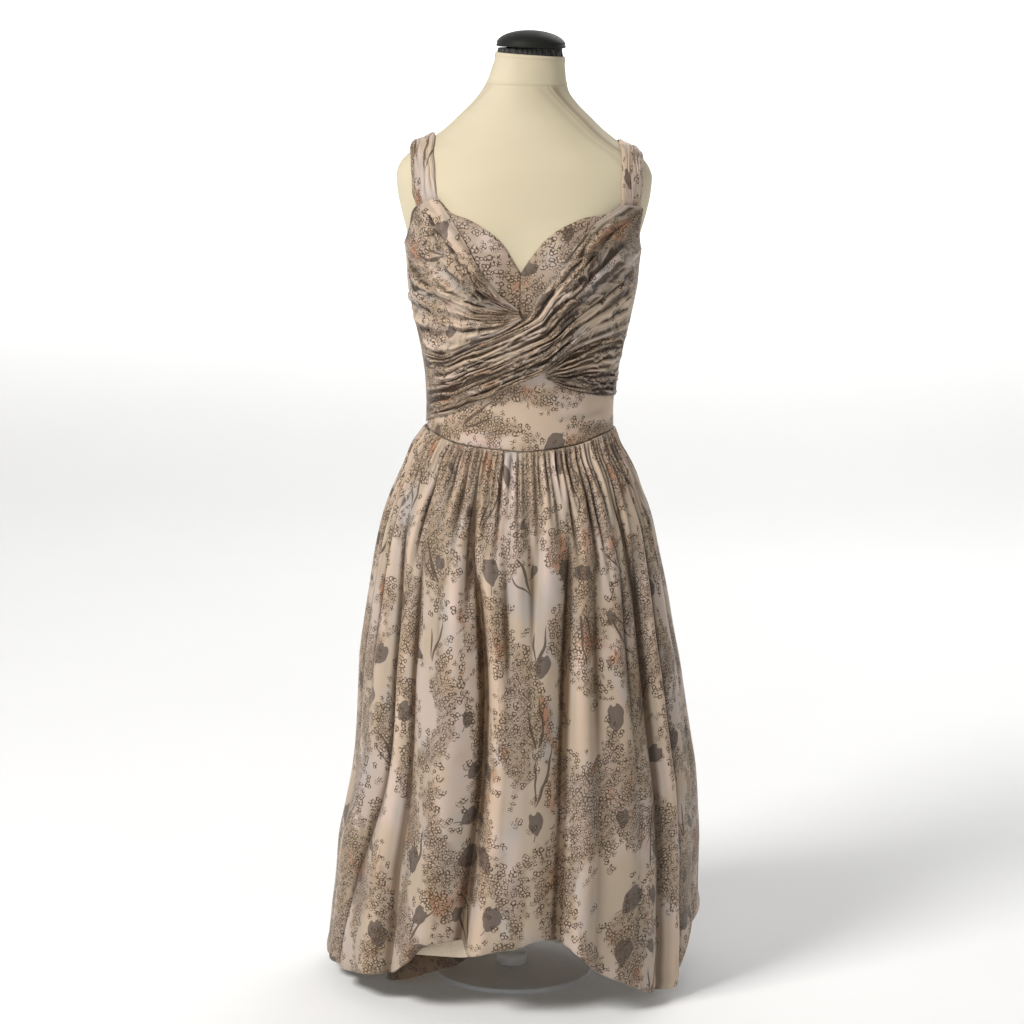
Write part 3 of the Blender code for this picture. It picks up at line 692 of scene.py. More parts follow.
def lathe(name, profile, columns, finish, tilt=0.0, foot=0.0):
    """A turned solid through (radius, height) points, with closed ends, tilted about its foot."""
    radii, heights = np.array(profile, float).T[..., None]
    angles = np.linspace(0, 2 * math.pi, columns + 1)[None, :]
    x = radii * np.sin(angles)
    z = heights + 0 * angles
    level = foot - x * math.sin(tilt) + z * math.cos(tilt)
    leaning = x * math.cos(tilt) + z * math.sin(tilt)
    points = np.stack([leaning, -radii * np.cos(angles), level + DATUM], axis=-1)
    steps = np.hypot(np.diff(radii, axis=0, prepend=radii[:1]), np.diff(heights, axis=0, prepend=heights[:1]))
    cloth = np.stack([angles * radii.max() + 0 * z, np.cumsum(steps)[:, None] + 0 * angles], axis=-1)
    return mesh_piece(name, points, quads(*z.shape), cloth, np.zeros(z.shape), finish)


# The dress form

JERSEY_ROWS = (
    # from height, to height, rows: close together where the jersey shows
    (0.500, 0.930, 26),
    (0.930, 1.120, 48),
    (1.120, TORSO[-1][0], 108),
)
JERSEY_COLUMNS = 288
NECK_FROM = 1.25  # height above which the rows draw in under the jersey's edge
NECK_SEAM_WAVE = 0.0006
SHOULDER_SEAM = ((30.5, 1.2455), (43.0, 1.2250), (52.0, 1.1950), (56.5, 1.1595), (59.0, 1.1350))
LEFT_SEAM_FURTHER = 42  # degrees that the left seam lies further round than the right one
SEAM_END = 0.004  # length over which a shoulder seam fades at its ends
SEAM_GROOVE = 0.0010
SEAM_PUFF = 0.0100
# Painted shade of the soft folds on each side of a shoulder seam.
SHOULDER_SHADES = (
    # off the seam, half width, shade
    (0.0085, 0.0070, 0.95),
    (-0.0130, 0.0060, 0.26),
)
JERSEY_ROLL = 0.0014  # radius of the jersey's rolled top edge
JERSEY_STITCH = 0.0045  # of the stitched line, below that edge
TIE_TUCKED = 0.0025  # how far the tied cloth starts below the jersey's edge
TIE_COLUMNS = 360
TIE_ROWS = 20
CAP_COLUMNS = 96
LIP_STEPS = 9
DOME_STEPS = 18
PLATE_EDGE = 0.003
PLATE_COLUMNS = 128
POLE_COLUMNS = 64
AXIS_GAP = 0.001  # radius at which a turned end closes
COLLAR_LOW = (
    # radius, height above the pole's foot
    (AXIS_GAP, 0.0), (0.0215, 0.0), (0.0225, 0.001), (0.0225, 0.014), (0.0205, 0.018), (0.0150, 0.0195),
    (POLE_RADIUS, 0.021),
)
COLLAR_HIGH = (
    # radius, depth below the pole's top
    (POLE_RADIUS, 0.021), (0.0205, 0.018), (0.0225, 0.014), (0.0225, 0.0), (AXIS_GAP, 0.0),
)


def jersey_top(angle):
    return JERSEY_TOP - JERSEY_TOP_LEAN * np.sin(np.radians(angle))


def off_seam(angle, height, points):
    """How far round the torso each place lies from a seam, and 1 where it is level with the seam."""
    line = Curve([(h, a) for a, h in sorted(points, key=lambda p: p[1])])
    low = min(h for _, h in points)
    high = max(h for _, h in points)
    half_width, front, _ = torso_at(height)
    away = np.radians(angle - line(height)) * (half_width + front) / 2
    return away, smooth((height - low) / SEAM_END) * smooth((high - height) / SEAM_END)


def jersey_cover(finish):
    """The torso's jersey, with a seam at the neck and at each shoulder, and closed at the foot."""
    runs = [np.linspace(*row) for row in JERSEY_ROWS]
    heights = np.concatenate([run[:-1] for run in runs] + [runs[-1][-1:]])
    angle, height = np.meshgrid(np.linspace(-180, 180, JERSEY_COLUMNS + 1), heights)
    squeeze = (jersey_top(angle) - NECK_FROM) / (TORSO[-1][0] - NECK_FROM)
    height = np.where(height > NECK_FROM, NECK_FROM + (height - NECK_FROM) * squeeze, height)
    above_seam = height - NECK_SEAM - NECK_SEAM_WAVE * np.cos(np.radians(angle))
    seam = bell(above_seam, SEAM_GROOVE)
    out = -0.0005 * seam + 0.0007 * bell(above_seam - 0.0022, 0.0018)
    shade = 0.28 * seam
    left_seam = tuple((-a - LEFT_SEAM_FURTHER, h) for a, h in SHOULDER_SEAM)
    for points, side in ((SHOULDER_SEAM, 1), (left_seam, -1)):
        away, level = off_seam(angle, height, points)
        away = away * side
        groove = level * bell(away, SEAM_GROOVE)
        out = out - 0.0006 * groove + 0.0013 * level * bell(away, SEAM_PUFF) * smooth(away / 0.004)
        shade = shade + 0.35 * groove
        # Painted shade in the soft folds beside the seam.
        for off, half_width, deep in SHOULDER_SHADES:
            shade = shade + deep * level * bell(away - off, half_width)
    below = jersey_top(angle) - height
    rolled = np.sqrt(np.clip(1 - (np.clip(JERSEY_ROLL - below, 0, None) / JERSEY_ROLL) ** 2, 0, 1))
    out = out + JERSEY_ROLL * rolled * smooth((0.012 - below) / 0.008)
    shade = shade + 0.30 * bell(below - JERSEY_STITCH, 0.0008)
    grid = skin(angle, height, out)
    bottom = grid[:1].copy()
    bottom[..., :2] *= 0.02
    closing = skin(angle[-1:], height[-1:] - 0.0004, -0.004)
    cloth = np.stack([np.radians(angle) * CLOTH_ROUND, height], axis=-1)
    grid = np.concatenate([bottom, grid, closing])
    shade, cloth = (np.concatenate([part[:1], part, part[-1:]]) for part in (shade, cloth))
    return mesh_piece("jersey_cover", grid, quads(*grid.shape[:2]), cloth, shade, finish)


def neck_tie(finish):
    """Dark cloth gathered and tied off between the jersey's edge and the cap."""
    angle, share = np.meshgrid(np.linspace(-180, 180, TIE_COLUMNS + 1), np.linspace(0, 1, TIE_ROWS))
    low = jersey_top(angle) - TIE_TUCKED
    height = low + (TORSO[-1][0] - 0.0001 - low) * share
    a = np.radians(angle)
    broad = np.sin(34 * a + 2.2 * np.sin(5 * a) + 2.5 * share)
    narrow = np.sin(61 * a + 3 * np.sin(3 * a) - 4 * share)
    pleats = broad + 0.5 * narrow
    out = -0.0012 - 0.0020 * share + 0.0009 * pleats * (0.4 + 0.6 * share)
    cloth = np.stack([a * 0.05, height], axis=-1)
    # Painted shade deep between the pleats.
    shade = np.clip(0.5 - 0.35 * pleats, 0, 1)
    return mesh_piece("neck_tie", skin(angle, height, out), quads(*angle.shape), cloth, shade, finish)


def neck_cap(finish):
    """A low turned dome with a thin rounded lip, a little tilted, on the neck."""
    tilt = math.radians(CAP_TILT)
    foot = TORSO[-1][0] + SEAM + CAP_RADIUS * abs(math.sin(tilt))
    half = CAP_LIP / 2
    profile = [(AXIS_GAP, 0.0), (CAP_RADIUS * CAP_SEAT, 0.0), (CAP_RADIUS * CAP_FOOT, 0.0003)]
    for k in range(LIP_STEPS):
        a = math.pi * (k / (LIP_STEPS + 1) - 0.5)
        profile.append((CAP_RADIUS - half + half * math.cos(a), half + half * math.sin(a)))
    for k in range(2, DOME_STEPS + 1):
        a = math.radians(CAP_CURVE) * k / DOME_STEPS
        profile.append((CAP_RADIUS * math.cos(a), CAP_LIP * 0.8 + (CAP_DOME + 0.2 * CAP_LIP) * math.sin(a)))
    profile.append((AXIS_GAP / 2, profile[-1][1] + 0.0001))
    made = lathe("cap_dome", profile, CAP_COLUMNS, finish, tilt, foot)
    made.data.transform(Matrix.Translation((CAP_MIDDLE, 0, 0)))
    return made


def base_plate(finish):
    """A round plate with a rounded rim and a slightly raised middle."""
    low = -DATUM
    top = low + BASE_THICK
    profile = [(AXIS_GAP, low), (BASE_RADIUS - 0.001, low), (BASE_RADIUS, low + 0.001)]
    for k in range(7):
        a = math.pi / 2 * k / 6
        level = top - 0.0012 - PLATE_EDGE + PLATE_EDGE * math.sin(a)
        profile.append((BASE_RADIUS - PLATE_EDGE + PLATE_EDGE * math.cos(a), level))
    for radius, down in ((0.060, 0.0004), (0.026, 0.0001), (0.0245, 0.0), (AXIS_GAP, 0.0)):
        profile.append((radius, top - down))
    return lathe("stand_plate", profile, PLATE_COLUMNS, finish)


def stand_tube(finish):
    """A pole with a turned collar at its foot and under the torso."""
    start = BASE_THICK - DATUM + SEAM
    end = TORSO[0][0] - SEAM
    profile = [(radius, start + up) for radius, up in COLLAR_LOW]
    profile += [(radius, end - down) for radius, down in COLLAR_HIGH]
    return lathe("stand_pole", profile, POLE_COLUMNS, finish)


# The bodice

CREASE_BOW = 0.004
MIDRIFF_SHADE = -0.60  # fold shade of a plain panel: below 0, a painted highlight
PANEL_SHADE = -0.40
CREASE_SHADE_DEPTH = 0.003
SEAM_TURN = (0.0006, 0.0030)  # how far a panel turns in at its seams, and over what width
TOP_TURN = (0.0025, 0.0045)  # the same at its top edge
DRAPE_OUT = PANEL_OUT + PANEL_WALL + DRAPE_GAP + DRAPE_WALL
CRUMPLE_WIDE = 0.11  # metres across a drape, near enough for its creases
CRUMPLES = (
    # size of the cells between creases in metres, height
    (0.034, 0.60),
    (0.020, 0.50),
    (0.012, 0.25),
)
STRAYS = (
    # how far a fold strays as a share of the drape's width, swells along and across
    (0.034, 7, 5),
    (0.021, 17, 10),
)
SLOW_SWELL = 0.0017
AT_STRAP_TALLER = 0.45  # a fold's height where it ends at a strap, above FOLD_END_SHARE
SIDE_FLATTER = (66, 16)  # angle where folds start to flatten toward the side seam, and over how many degrees
SEWN_EDGE = 0.02
DRAPE_EDGE_SHADE = -0.08
STRAP_FLAT = (0.065, 0.26)  # width and length of a strap's cloth
STRAP_SHADE_REACH = 6  # columns
STRAP_SHADE_DEPTH = 0.26
STRAP_SHADE = {-1: -0.30, 1: -0.80}  # painted light on its plain cloth, by side: the right strap, which the lamps light less, is painted paler


def crease_depth(angle, height):
    """How far the midriff's soft creases lie inside its surface."""
    total = np.zeros(np.broadcast(angle, height).shape)
    around = math.radians(1) * CLOTH_ROUND
    for a0, h0, a1, h1, half_width, depth in CREASES:
        run = np.array([(a1 - a0) * around, h1 - h0])
        px = (angle - a0) * around
        py = height - h0
        t = np.clip((px * run[0] + py * run[1]) / (run @ run), 0, 1)
        away = np.hypot(px - t * run[0], py - t * run[1] + CREASE_BOW * np.sin(math.pi * t))
        taper = np.sin(math.pi * np.clip(t * 0.94 + 0.03, 0, 1)) ** 0.6
        total += depth * taper * bell(away, half_width)
    return total


def panel(name, first, last, low_at, high_at, columns, rows, finish, creased=False, offset=(0.0, 0.0)):
    """A bodice panel between two angles and two edge curves, turned in over its seams."""
    angle, share = np.meshgrid(np.linspace(first, last, columns), np.linspace(0, 1, rows))
    low = low_at(turned(angle))
    high = high_at(angle)
    height = low + (high - low) * share
    creases = crease_depth(angle, height) * creased
    # Painted highlight over the plain cloth, with painted shade in the midriff's creases.
    shade = (MIDRIFF_SHADE if creased else PANEL_SHADE) + creases / CREASE_SHADE_DEPTH
    at_seam = np.minimum(height - low, np.radians(np.minimum(angle - first, last - angle)) * CLOTH_ROUND)
    out = PANEL_OUT + PANEL_WALL - creases
    for off, (turn, width) in ((at_seam, SEAM_TURN), (high - height, TOP_TURN)):
        out = out - turn * (1 - smooth(off / width))
    cloth = np.stack([np.radians(angle) * CLOTH_ROUND + offset[0], height + offset[1]], axis=-1)
    if creased:
        cloth = cloth[..., ::-1]
    return shell(name, skin(angle, height, out), cloth, shade, PANEL_WALL * 0.8, finish)


def coons(edges, u, v):
    """The angle and height of a grid between a drape's four edges."""
    sides = {side: edge(points) for side, points in edges.items()}
    along = u[:, None]
    across = v[None, :]
    found = []
    for k in (0, 1):
        first, last = (sides[side](u)[k][:, None] for side in ("first", "last"))
        start, end = (sides[side](v)[k][None, :] for side in ("start", "end"))
        corners = (1 - along) * ((1 - across) * start[:, :1] + across * start[:, -1:])
        corners = corners + along * ((1 - across) * end[:, :1] + across * end[:, -1:])
        found.append((1 - across) * first + across * last + (1 - along) * start + along * end - corners)
    return found


def tucks(u, v, folds, lean, seed):
    """Heights, from 0 to 1, of uneven tucks side by side along a drape. Some run out, and others fork."""
    rng = np.random.default_rng(seed)
    widths = rng.uniform(0.42, 1.58, folds)
    bounds = np.concatenate([[0.0], np.cumsum(widths) / widths.sum()])
    drift = 0.55 / folds * np.sin(2.2 * math.pi * u + 3.0 * v + seed)
    drift = drift + 0.30 / folds * np.sin(5.3 * math.pi * u + 9.0 * v + 2.0 * seed)
    place = np.clip(v + drift * np.sin(math.pi * v) ** 0.5, 0, 1 - 1e-9)
    k = np.clip(np.searchsorted(bounds, place, side="right") - 1, 0, folds - 1)
    p = (place - bounds[k]) / (bounds[k + 1] - bounds[k])
    ridge = np.sin(math.pi * p**lean) ** 0.9
    swing = rng.uniform(0, 2 * math.pi, folds)[k]
    beat = rng.uniform(0.5, 1.4, folds)[k]
    strength = rng.uniform(0.50, 0.95, folds)[k] * (0.78 + 0.28 * np.sin(2 * math.pi * beat * u + swing))
    # A wide tuck forks in two along part of its length.
    fork_swing = rng.uniform(0, 2 * math.pi, folds)[k]
    fork = smooth(0.5 + 1.1 * np.sin(2 * math.pi * u * beat + fork_swing)) * (widths[k] > 0.85)
    ridge = ridge * (1 - 0.55 * fork * np.sin(math.pi * p) ** 8 * (1 - 0.4 * p))
    crinkle = 0.05 * np.sin(41.0 * u + 17.0 * v + 3.0 * np.sin(9.0 * u)) * np.sin(math.pi * p)
    return np.clip(ridge * strength + crinkle, 0, 1)


def along_drape(start, half, end):
    """A curve through a value at a drape's start, halfway and at its end."""
    return Curve(((0.0, start), (0.5, half), (1.0, end)))


def ridge_heights(name, u, v, lean):
    """Heights, from 0 to 1, of a drape's main folds, placed one by one. Each is steeper on one side."""
    flat = np.ones(u.shape)
    for start, half, end, half_width, height, first, last in RIDGES[name]:
        centre = along_drape(start, half, end)(u)
        centre = centre + 0.012 * np.sin(7.0 * u + 40 * start) * from_ends(u, 0.25)
        off = (v - centre) / half_width * lean
        steep = np.exp(-(np.abs(off / 0.75) ** 2.4))
        shape = np.where(off > 0, steep, np.exp(-(np.abs(off / 1.35) ** 1.5)))
        shown = smooth((u - first) / 0.10) if first > 0 else 1.0
        swell = 0.85 + 0.15 * np.sin(11 * u + 60 * start)
        flat = flat * (1 - 0.97 * height * swell * shown * smooth((last - u) / 0.16) * shape)
    return 1 - flat


def pucker_heights(name, u, v):
    """Short puckers across the folds, each with a hollow at one side."""
    total = np.zeros(u.shape)
    for along, across, turn, half_length, half_width, height in PUCKERS.get(name, ()):
        a = math.radians(turn)
        du = u - along
        dv = (v - across) * 0.55
        run = (du * math.cos(a) + dv * math.sin(a)) / half_length
        off = (dv * math.cos(a) - du * math.sin(a)) / half_width + 0.5 * run * run
        total += height * bell(run, 1) * (bell(off, 1) - 0.5 * bell(off - 1.7, 1))
    return total


def cloud(u, v, along, across, seed):
    """Smooth uneven values from -1 to 1, with so many swells along and across."""
    grid = np.random.default_rng(seed).uniform(-1, 1, (along + 2, across + 2))
    x = np.clip(u, 0, 1) * along
    y = np.clip(v, 0, 1) * across
    i = x.astype(int)
    j = y.astype(int)
    fx = smooth(x - i)
    fy = smooth(y - j)
    near = grid[i, j] * (1 - fy) + grid[i, j + 1] * fy
    far = grid[i + 1, j] * (1 - fy) + grid[i + 1, j + 1] * fy
    return near * (1 - fx) + far * fx


def crumple(u, v, long, wide, seed):
    """Sharp small creases that run every way across cloth of this length and width, from 0 up."""
    total = np.zeros(u.shape)
    for k, (size, height) in enumerate(CRUMPLES):
        rough = cloud(u, v, round(long / size) + 1, round(wide / size) + 1, seed + k)
        total += height * (1 - np.abs(rough)) ** 5
    return total


def local_depth(inside, reach):
    """How deep the cloth lies against the cloth beside it."""
    width = 2 * reach + 1
    ends = [(0, 0), (reach + 1, reach)]
    total = np.cumsum(np.pad(inside, ends, mode="edge"), axis=1)
    return inside - (total[:, width:] - total[:, :-width]) / width


def drape(name, edges, fine, rows, columns, depth, shading, lean, lifts, wide, long, seed, finish):
    """A gathered drape between its four edges, whose folds run from its start to its end."""
    u = np.linspace(0, 1, rows)
    v = np.linspace(0, 1, columns)
    angle, height = coons(edges, u, v)
    across, along = np.meshgrid(v, u)

    def uneven(swells_along, swells_across, number):
        return cloud(along, across, swells_along, swells_across, seed + number)

    grow = from_ends(along, FOLD_END_LENGTH)
    free = grow * from_ends(across, 0.10)
    end_share = FOLD_END_SHARE + AT_STRAP_TALLER * smooth((80 - np.abs(angle)) / 15) * (along > 0.5)
    side_from, side_over = SIDE_FLATTER
    tall = depth * (end_share + (1 - end_share) * grow)
    tall = tall * (1 - 0.5 * smooth((np.abs(angle) - side_from) / side_over))
    # The folds wander, come and go, and small creases cross them.
    stray = sum(far * uneven(*swells, 10 + k) for k, (far, *swells) in enumerate(STRAYS))
    strayed = across + stray * free
    main = ridge_heights(name, along, strayed, lean) * (0.66 + 0.60 * uneven(11, 13, 12) * grow)
    small = tucks(along, np.clip(strayed + 0.6 * stray * free, 0, 1), fine, 1.0 + 0.4 * lean, seed)
    small = small * (0.62 + 0.60 * uneven(11, 13, 13))
    creases = crumple(along, across, long, CRUMPLE_WIDE, seed + 14) * free
    ridge = RIDGE_SHARE * main + (1 - RIDGE_SHARE) * small + CRUMPLE_SHARE * (creases - 0.25)
    ridge = np.clip(ridge, 0, 1.2)
    out = DRAPE_OUT + along_drape(*lifts)(along) + tall * ridge * (0.25 + 0.75 * from_ends(across, SEWN_EDGE))
    out = out + SLOW_SWELL * uneven(5, 6, 15) * grow + pucker_heights(name, along, across)
    grid = skin(angle, height, np.maximum(out, DRAPE_OUT))
    # Painted shade in dark bundles and painted light on broad facets lie among the folds; the sewn edges
    # carry no fold shade, only a faint painted light.
    painted_light_and_shade = uneven(4, 6, 16) + 0.5 * uneven(11, 15, 17)
    valley = local_depth(-ridge, round(DRAPE_SHADE_REACH * columns)) / DRAPE_SHADE_DEPTH
    shade = np.clip(valley + DRAPE_PAINTED_SHADE[name] + 0.55 * painted_light_and_shade, -1, 1)
    shade = np.where(shade > 0, shade * shading, shade)
    place_across = cloth_across(grid, shade, wide)
    cloth = np.stack([place_across + 0.31 * seed, (along + stray) * long + 0.17 * seed], axis=-1)
    inside_edge = from_ends(across, 0.025) * from_ends(along, 0.015)
    shade = shade * inside_edge + DRAPE_EDGE_SHADE * (1 - inside_edge)
    return shell(name, grid, cloth, shade, DRAPE_WALL * 0.75, finish)


def over_shoulder(x, turn, out):
    """The points `out` outside the torso on the sections at x, at these angles up from the front and back."""
    y0, z0 = STRAP_CENTRE
    dy = -np.cos(turn)
    dz = np.sin(turn)
    near = np.zeros(x.shape)
    far = np.full(x.shape, 0.25)
    for _ in range(36):
        reach = (near + far) / 2
        y = y0 + reach * dy
        z = z0 + reach * dz
        half_width, front, back = torso_at(z)
        share = np.sqrt(np.clip(1 - (x / half_width) ** 2, 0, 1))
        inside = (np.abs(x) < half_width) & (z < TORSO[-1][0]) & (y < back * share)
        inside &= y > -(front * share + bust(x, z) * smooth(share / BUST_FADE))
        near = np.where(inside, reach, near)
        far = np.where(inside, far, reach)
    reach = near + out
    return np.stack([x, y0 + reach * dy, z0 + reach * dz + DATUM], axis=-1)


def strap(name, front_inner, front_outer, top_inner, top_outer, lift_inner, lift_outer, seed, finish):
    """A gathered strap from the cup's top edge over the shoulder to the back's top edge."""
    side = 1 if top_inner > 0 else -1
    front_at = top_right_at if side > 0 else top_left_at
    y0, z0 = STRAP_CENTRE
    v, u = np.meshgrid(np.linspace(0, 1, STRAP_COLUMNS), np.linspace(0, 1, STRAP_ROWS))
    angle = front_inner + (front_outer - front_inner) * v
    x_front, y_front, z_front = np.moveaxis(skin(angle, front_at(angle) + 2 * SEAM, STRAP_OUT), -1, 0)
    back_angle = STRAP_BACK_ANGLES[0] + (STRAP_BACK_ANGLES[1] - STRAP_BACK_ANGLES[0]) * v
    behind = skin(side * back_angle, top_back_at(back_angle) + 2 * SEAM, STRAP_OUT)
    x_back, y_back, z_back = np.moveaxis(behind, -1, 0)
    x_top = top_inner + (top_outer - top_inner) * v
    x = x_front * (1 - u) * (1 - 2 * u) + 4 * u * (1 - u) * x_top - x_back * u * (1 - 2 * u)
    wander = np.sin(31 * u + seed) + 0.7 * np.sin(57 * u + 2 * seed + 3 * v)
    x = x + 0.0006 * wander * (2 * v - 1) * from_ends(u, 1 / 12)
    turn_front = np.arctan2(z_front - DATUM - z0, -(y_front - y0))
    turn_back = np.arctan2(z_back - DATUM - z0, -(y_back - y0))
    turn = turn_front + (turn_back - turn_front) * u
    wide, long = STRAP_FLAT
    ridge = tucks(u, np.clip(v + 0.07 * cloud(u, v, 12, 3, seed), 0, 1), STRAP_FOLDS, 1.2, seed)
    ridge = np.clip(ridge + 0.45 * (crumple(u, v, long, 0.03, seed + 4) - 0.2), 0, 1.2)
    at_foot = 0.15 + 0.85 * smooth((u - 0.018) / 0.05)
    lift = (lift_inner + (lift_outer - lift_inner) * v) * from_ends(u, 0.5)
    raised = STRAP_FOLD_DEPTH * at_foot * ridge * smooth(np.minimum(v, 1 - v) / 0.06 + 0.2)
    out = STRAP_OUT + STRAP_WALL + lift + raised - 0.0012 * (1 - from_ends(v, 0.10))
    # Painted shade in the strap's valleys, and painted light on its plain cloth.
    valley = np.clip(local_depth(-ridge, STRAP_SHADE_REACH) / STRAP_SHADE_DEPTH, -1, 1)
    shade = valley * from_ends(v, 0.12) * at_foot + STRAP_SHADE[side]
    grid = over_shoulder(x, turn, out)
    cloth = np.stack([cloth_across(grid, shade, wide) + 0.19 * seed, u * long + 0.07 * seed], axis=-1)
    core = np.zeros(grid.shape) + (0.0, y0, z0 + DATUM)
    core[..., 0] = grid[..., 0] * 0.6
    return shell(name, grid, cloth, shade, STRAP_WALL * 0.75, finish, core)


# The skirt

SIDE_TURN = (0.007, 0.0016)  # how far the skirt turns in at a side seam, in two steps
TOP_TUCK = 0.0012  # how far its top edge is tucked in at the waist seam
LIMIT_SOFT = 0.002  # over which deep folds level out before they would touch the lining
HEM_SWELL = 0.0022
TURN_UP_STEPS = 3
LINING_COLUMNS = 180
LINING_ROWS = 60
LINING_WALL = 0.0009
FACING_COLUMNS = 70
FACING_ROWS = 16


def fold_depth(angle, drop):
    """How far the skirt's large folds lie inside its crests: a trough with a lobe at each side."""
    total = np.zeros(np.broadcast(angle, drop).shape)
    deeper = FOLD_DEEPER - (FOLD_DEEPER - 1) * smooth((drop - 0.25) / 0.3)
    low_down = smooth((drop - 0.15) / 0.30)
    for number, row in enumerate(SKIRT_FOLDS):
        waist, half, hem, half_width, start, half_depth, hem_depth = row
        path = Curve(((0.0, waist), (FOLD_HALF_DROP, half), (FOLD_HEM_DROP, hem)))
        deep = Curve(((start, 0.0), (FOLD_HALF_DROP, half_depth), (FOLD_HEM_DROP, hem_depth)))
        lean = 0.35 * math.sin(2.1 * number + 0.7)
        kept = min(max((hem_depth - 0.002) / 0.014, 0.22), 1.0)
        off = turned(angle - path(drop)) / (half_width * (1 + 0.35 * low_down))
        away = np.abs(off) / (1 + lean * np.tanh(off))
        # A lobe would stand outside the skirt's sides, so there it is left out.
        frontal = smooth(np.abs(np.cos(np.radians(path(drop)))) / 0.8)
        trough = np.exp(-(away**FOLD_SHARP)) - FOLD_SWELL * frontal * bell(away - 2.3, 1.2)
        total += (1 - (1 - kept) * low_down) * deeper * deep(drop) * trough
    return total


def gather_depth(angle, drop, first, gathers, tucks_between, seed):
    """How far the fine gathers lie inside the skirt's crests."""
    rng = np.random.default_rng(seed)
    total = np.zeros(np.broadcast(angle, drop).shape)
    for count, half, depth, length in (
        (gathers, GATHER_HALF, GATHER_DEPTH, GATHER_LENGTH),
        (tucks_between, TUCK_HALF, TUCK_DEPTH, TUCK_LENGTH),
    ):
        for k in range(count):
            centre = first + 180 / count * (k + 0.5 + rng.uniform(-0.26, 0.26))
            half_width = rng.uniform(*half)
            deep = rng.uniform(*depth)
            far = length[0] + (length[1] - length[0]) * rng.uniform(0, 1) ** 1.7
            slant = rng.uniform(-9, 9)
            down = (0.32 + 0.68 * smooth(drop / 0.012)) * (1 - smooth((drop / far - 0.25) / 0.75))
            off = (angle - centre - slant * drop) / (half_width * (1 + drop / GATHER_SPREAD))
            total += deep * down * np.exp(-(np.abs(off) ** 1.8))
    return total


def wave_depth(angle, drop):
    """Soft, slow waves of the cloth between the folds."""
    total = np.zeros(np.broadcast(angle, drop).shape)
    for per_degree, per_metre, phase, height in WAVES:
        swell = np.sin(per_degree * angle + phase + 1.3 * np.sin(per_metre * drop + phase))
        total += height * smooth(drop / 0.45) * (0.5 - 0.5 * swell)
    return total


def skirt_surface(angle, drop, inside):
    """The skirt's points `inside` its crests, at these angles and drops below the waist seam."""
    angle, drop, inside = np.broadcast_arrays(angle, drop, inside)
    left, right, front, back = skirt_at(drop)
    sine = np.sin(np.radians(angle))
    cosine = np.cos(np.radians(angle))
    x = (np.where(sine > 0, right, left) - inside) * sine
    y = -(np.where(cosine > 0, front, back) - inside) * cosine
    return np.stack([x, y, waist_at(turned(angle)) - SEAM - drop + DATUM], axis=-1)


def skirt_half(name, first, gathers, tucks_between, seed, columns, rows, finish):
    """Half of the skirt: one cloth, turned in at the waist seam, the side seams and the rolled hem."""
    inner_columns = columns - 2 * len(SIDE_TURN)
    angles = np.linspace(first + SEAM_ANGLE, first + 180 - SEAM_ANGLE, inner_columns)
    angles = np.pad(angles, len(SIDE_TURN), mode="edge")[None, :]
    turned_in = np.concatenate([SIDE_TURN, np.zeros(inner_columns), SIDE_TURN[::-1]])[None, :]
    share = np.linspace(0, 1, rows)[:, None]
    share = share * (0.34 + 0.66 * share)
    angle = turned(angles)
    full = waist_at(angle) - SEAM - hem_at(angle)
    drop = share * (full - HEM_ROLL)
    inside = fold_depth(angle, drop) + wave_depth(angle, drop)
    inside = inside + gather_depth(angles, drop, first, gathers, tucks_between, seed)
    # The painted shade runs from 1 in a narrow valley to -1, a painted highlight, on a crest, and is painted
    # lighter at the waist.
    shade = np.clip(local_depth(inside, round(SHADE_REACH * columns / 180)) / SHADE_DEPTH, -1, 1)
    shade = shade * (1 - SHADE_FADE * smooth((drop - 0.20) / 0.35)) - 0.22 * (1 - smooth(drop / 0.16))
    inside = inside + turned_in
    soft_from = lining_clear_at(drop) - LINING_GAP - LIMIT_SOFT
    levelled = soft_from + LIMIT_SOFT * np.tanh((inside - soft_from) / LIMIT_SOFT)
    inside = np.where(inside > soft_from, levelled, inside)
    # The cloth swells a little where the rolled hem holds it.
    inside = inside - HEM_SWELL * bell((full - drop) / 0.022 - 0.55, 0.5)
    drops = [np.zeros_like(drop[:1]), drop]
    insides = [inside[:1] + TOP_TUCK, inside]
    for k in range(1, HEM_ROLL_STEPS + 1):
        a = math.pi * k / HEM_ROLL_STEPS
        drops.append(full - HEM_ROLL + HEM_ROLL * math.sin(a))
        insides.append(inside[-1:] + HEM_ROLL * (1 - math.cos(a)))
    for k in range(1, TURN_UP_STEPS + 1):
        drops.append(full - HEM_ROLL - HEM_TURN_UP * k / TURN_UP_STEPS)
        insides.append(inside[-1 - 3 * k:][:1] + 2 * HEM_ROLL)
    drop = np.concatenate(drops)
    grid = skirt_surface(angles, drop, np.concatenate(insides))
    shade = np.concatenate([shade[:1], shade] + [shade[-1:]] * (len(drop) - rows - 1))
    around = cloth_across(grid, shade, math.pi * SKIRT_FLAT_RADIUS) + math.radians(first) * SKIRT_FLAT_RADIUS
    past_hem = np.arange(1, len(drop) - rows)[:, None] * 0.003
    down = np.concatenate([drop[:rows + 1], drop[rows:rows + 1] + past_hem])
    cloth = np.stack([around, -down], axis=-1)
    return mesh_piece(name, grid, quads(*grid.shape[:2], flip=True), cloth, shade, finish)


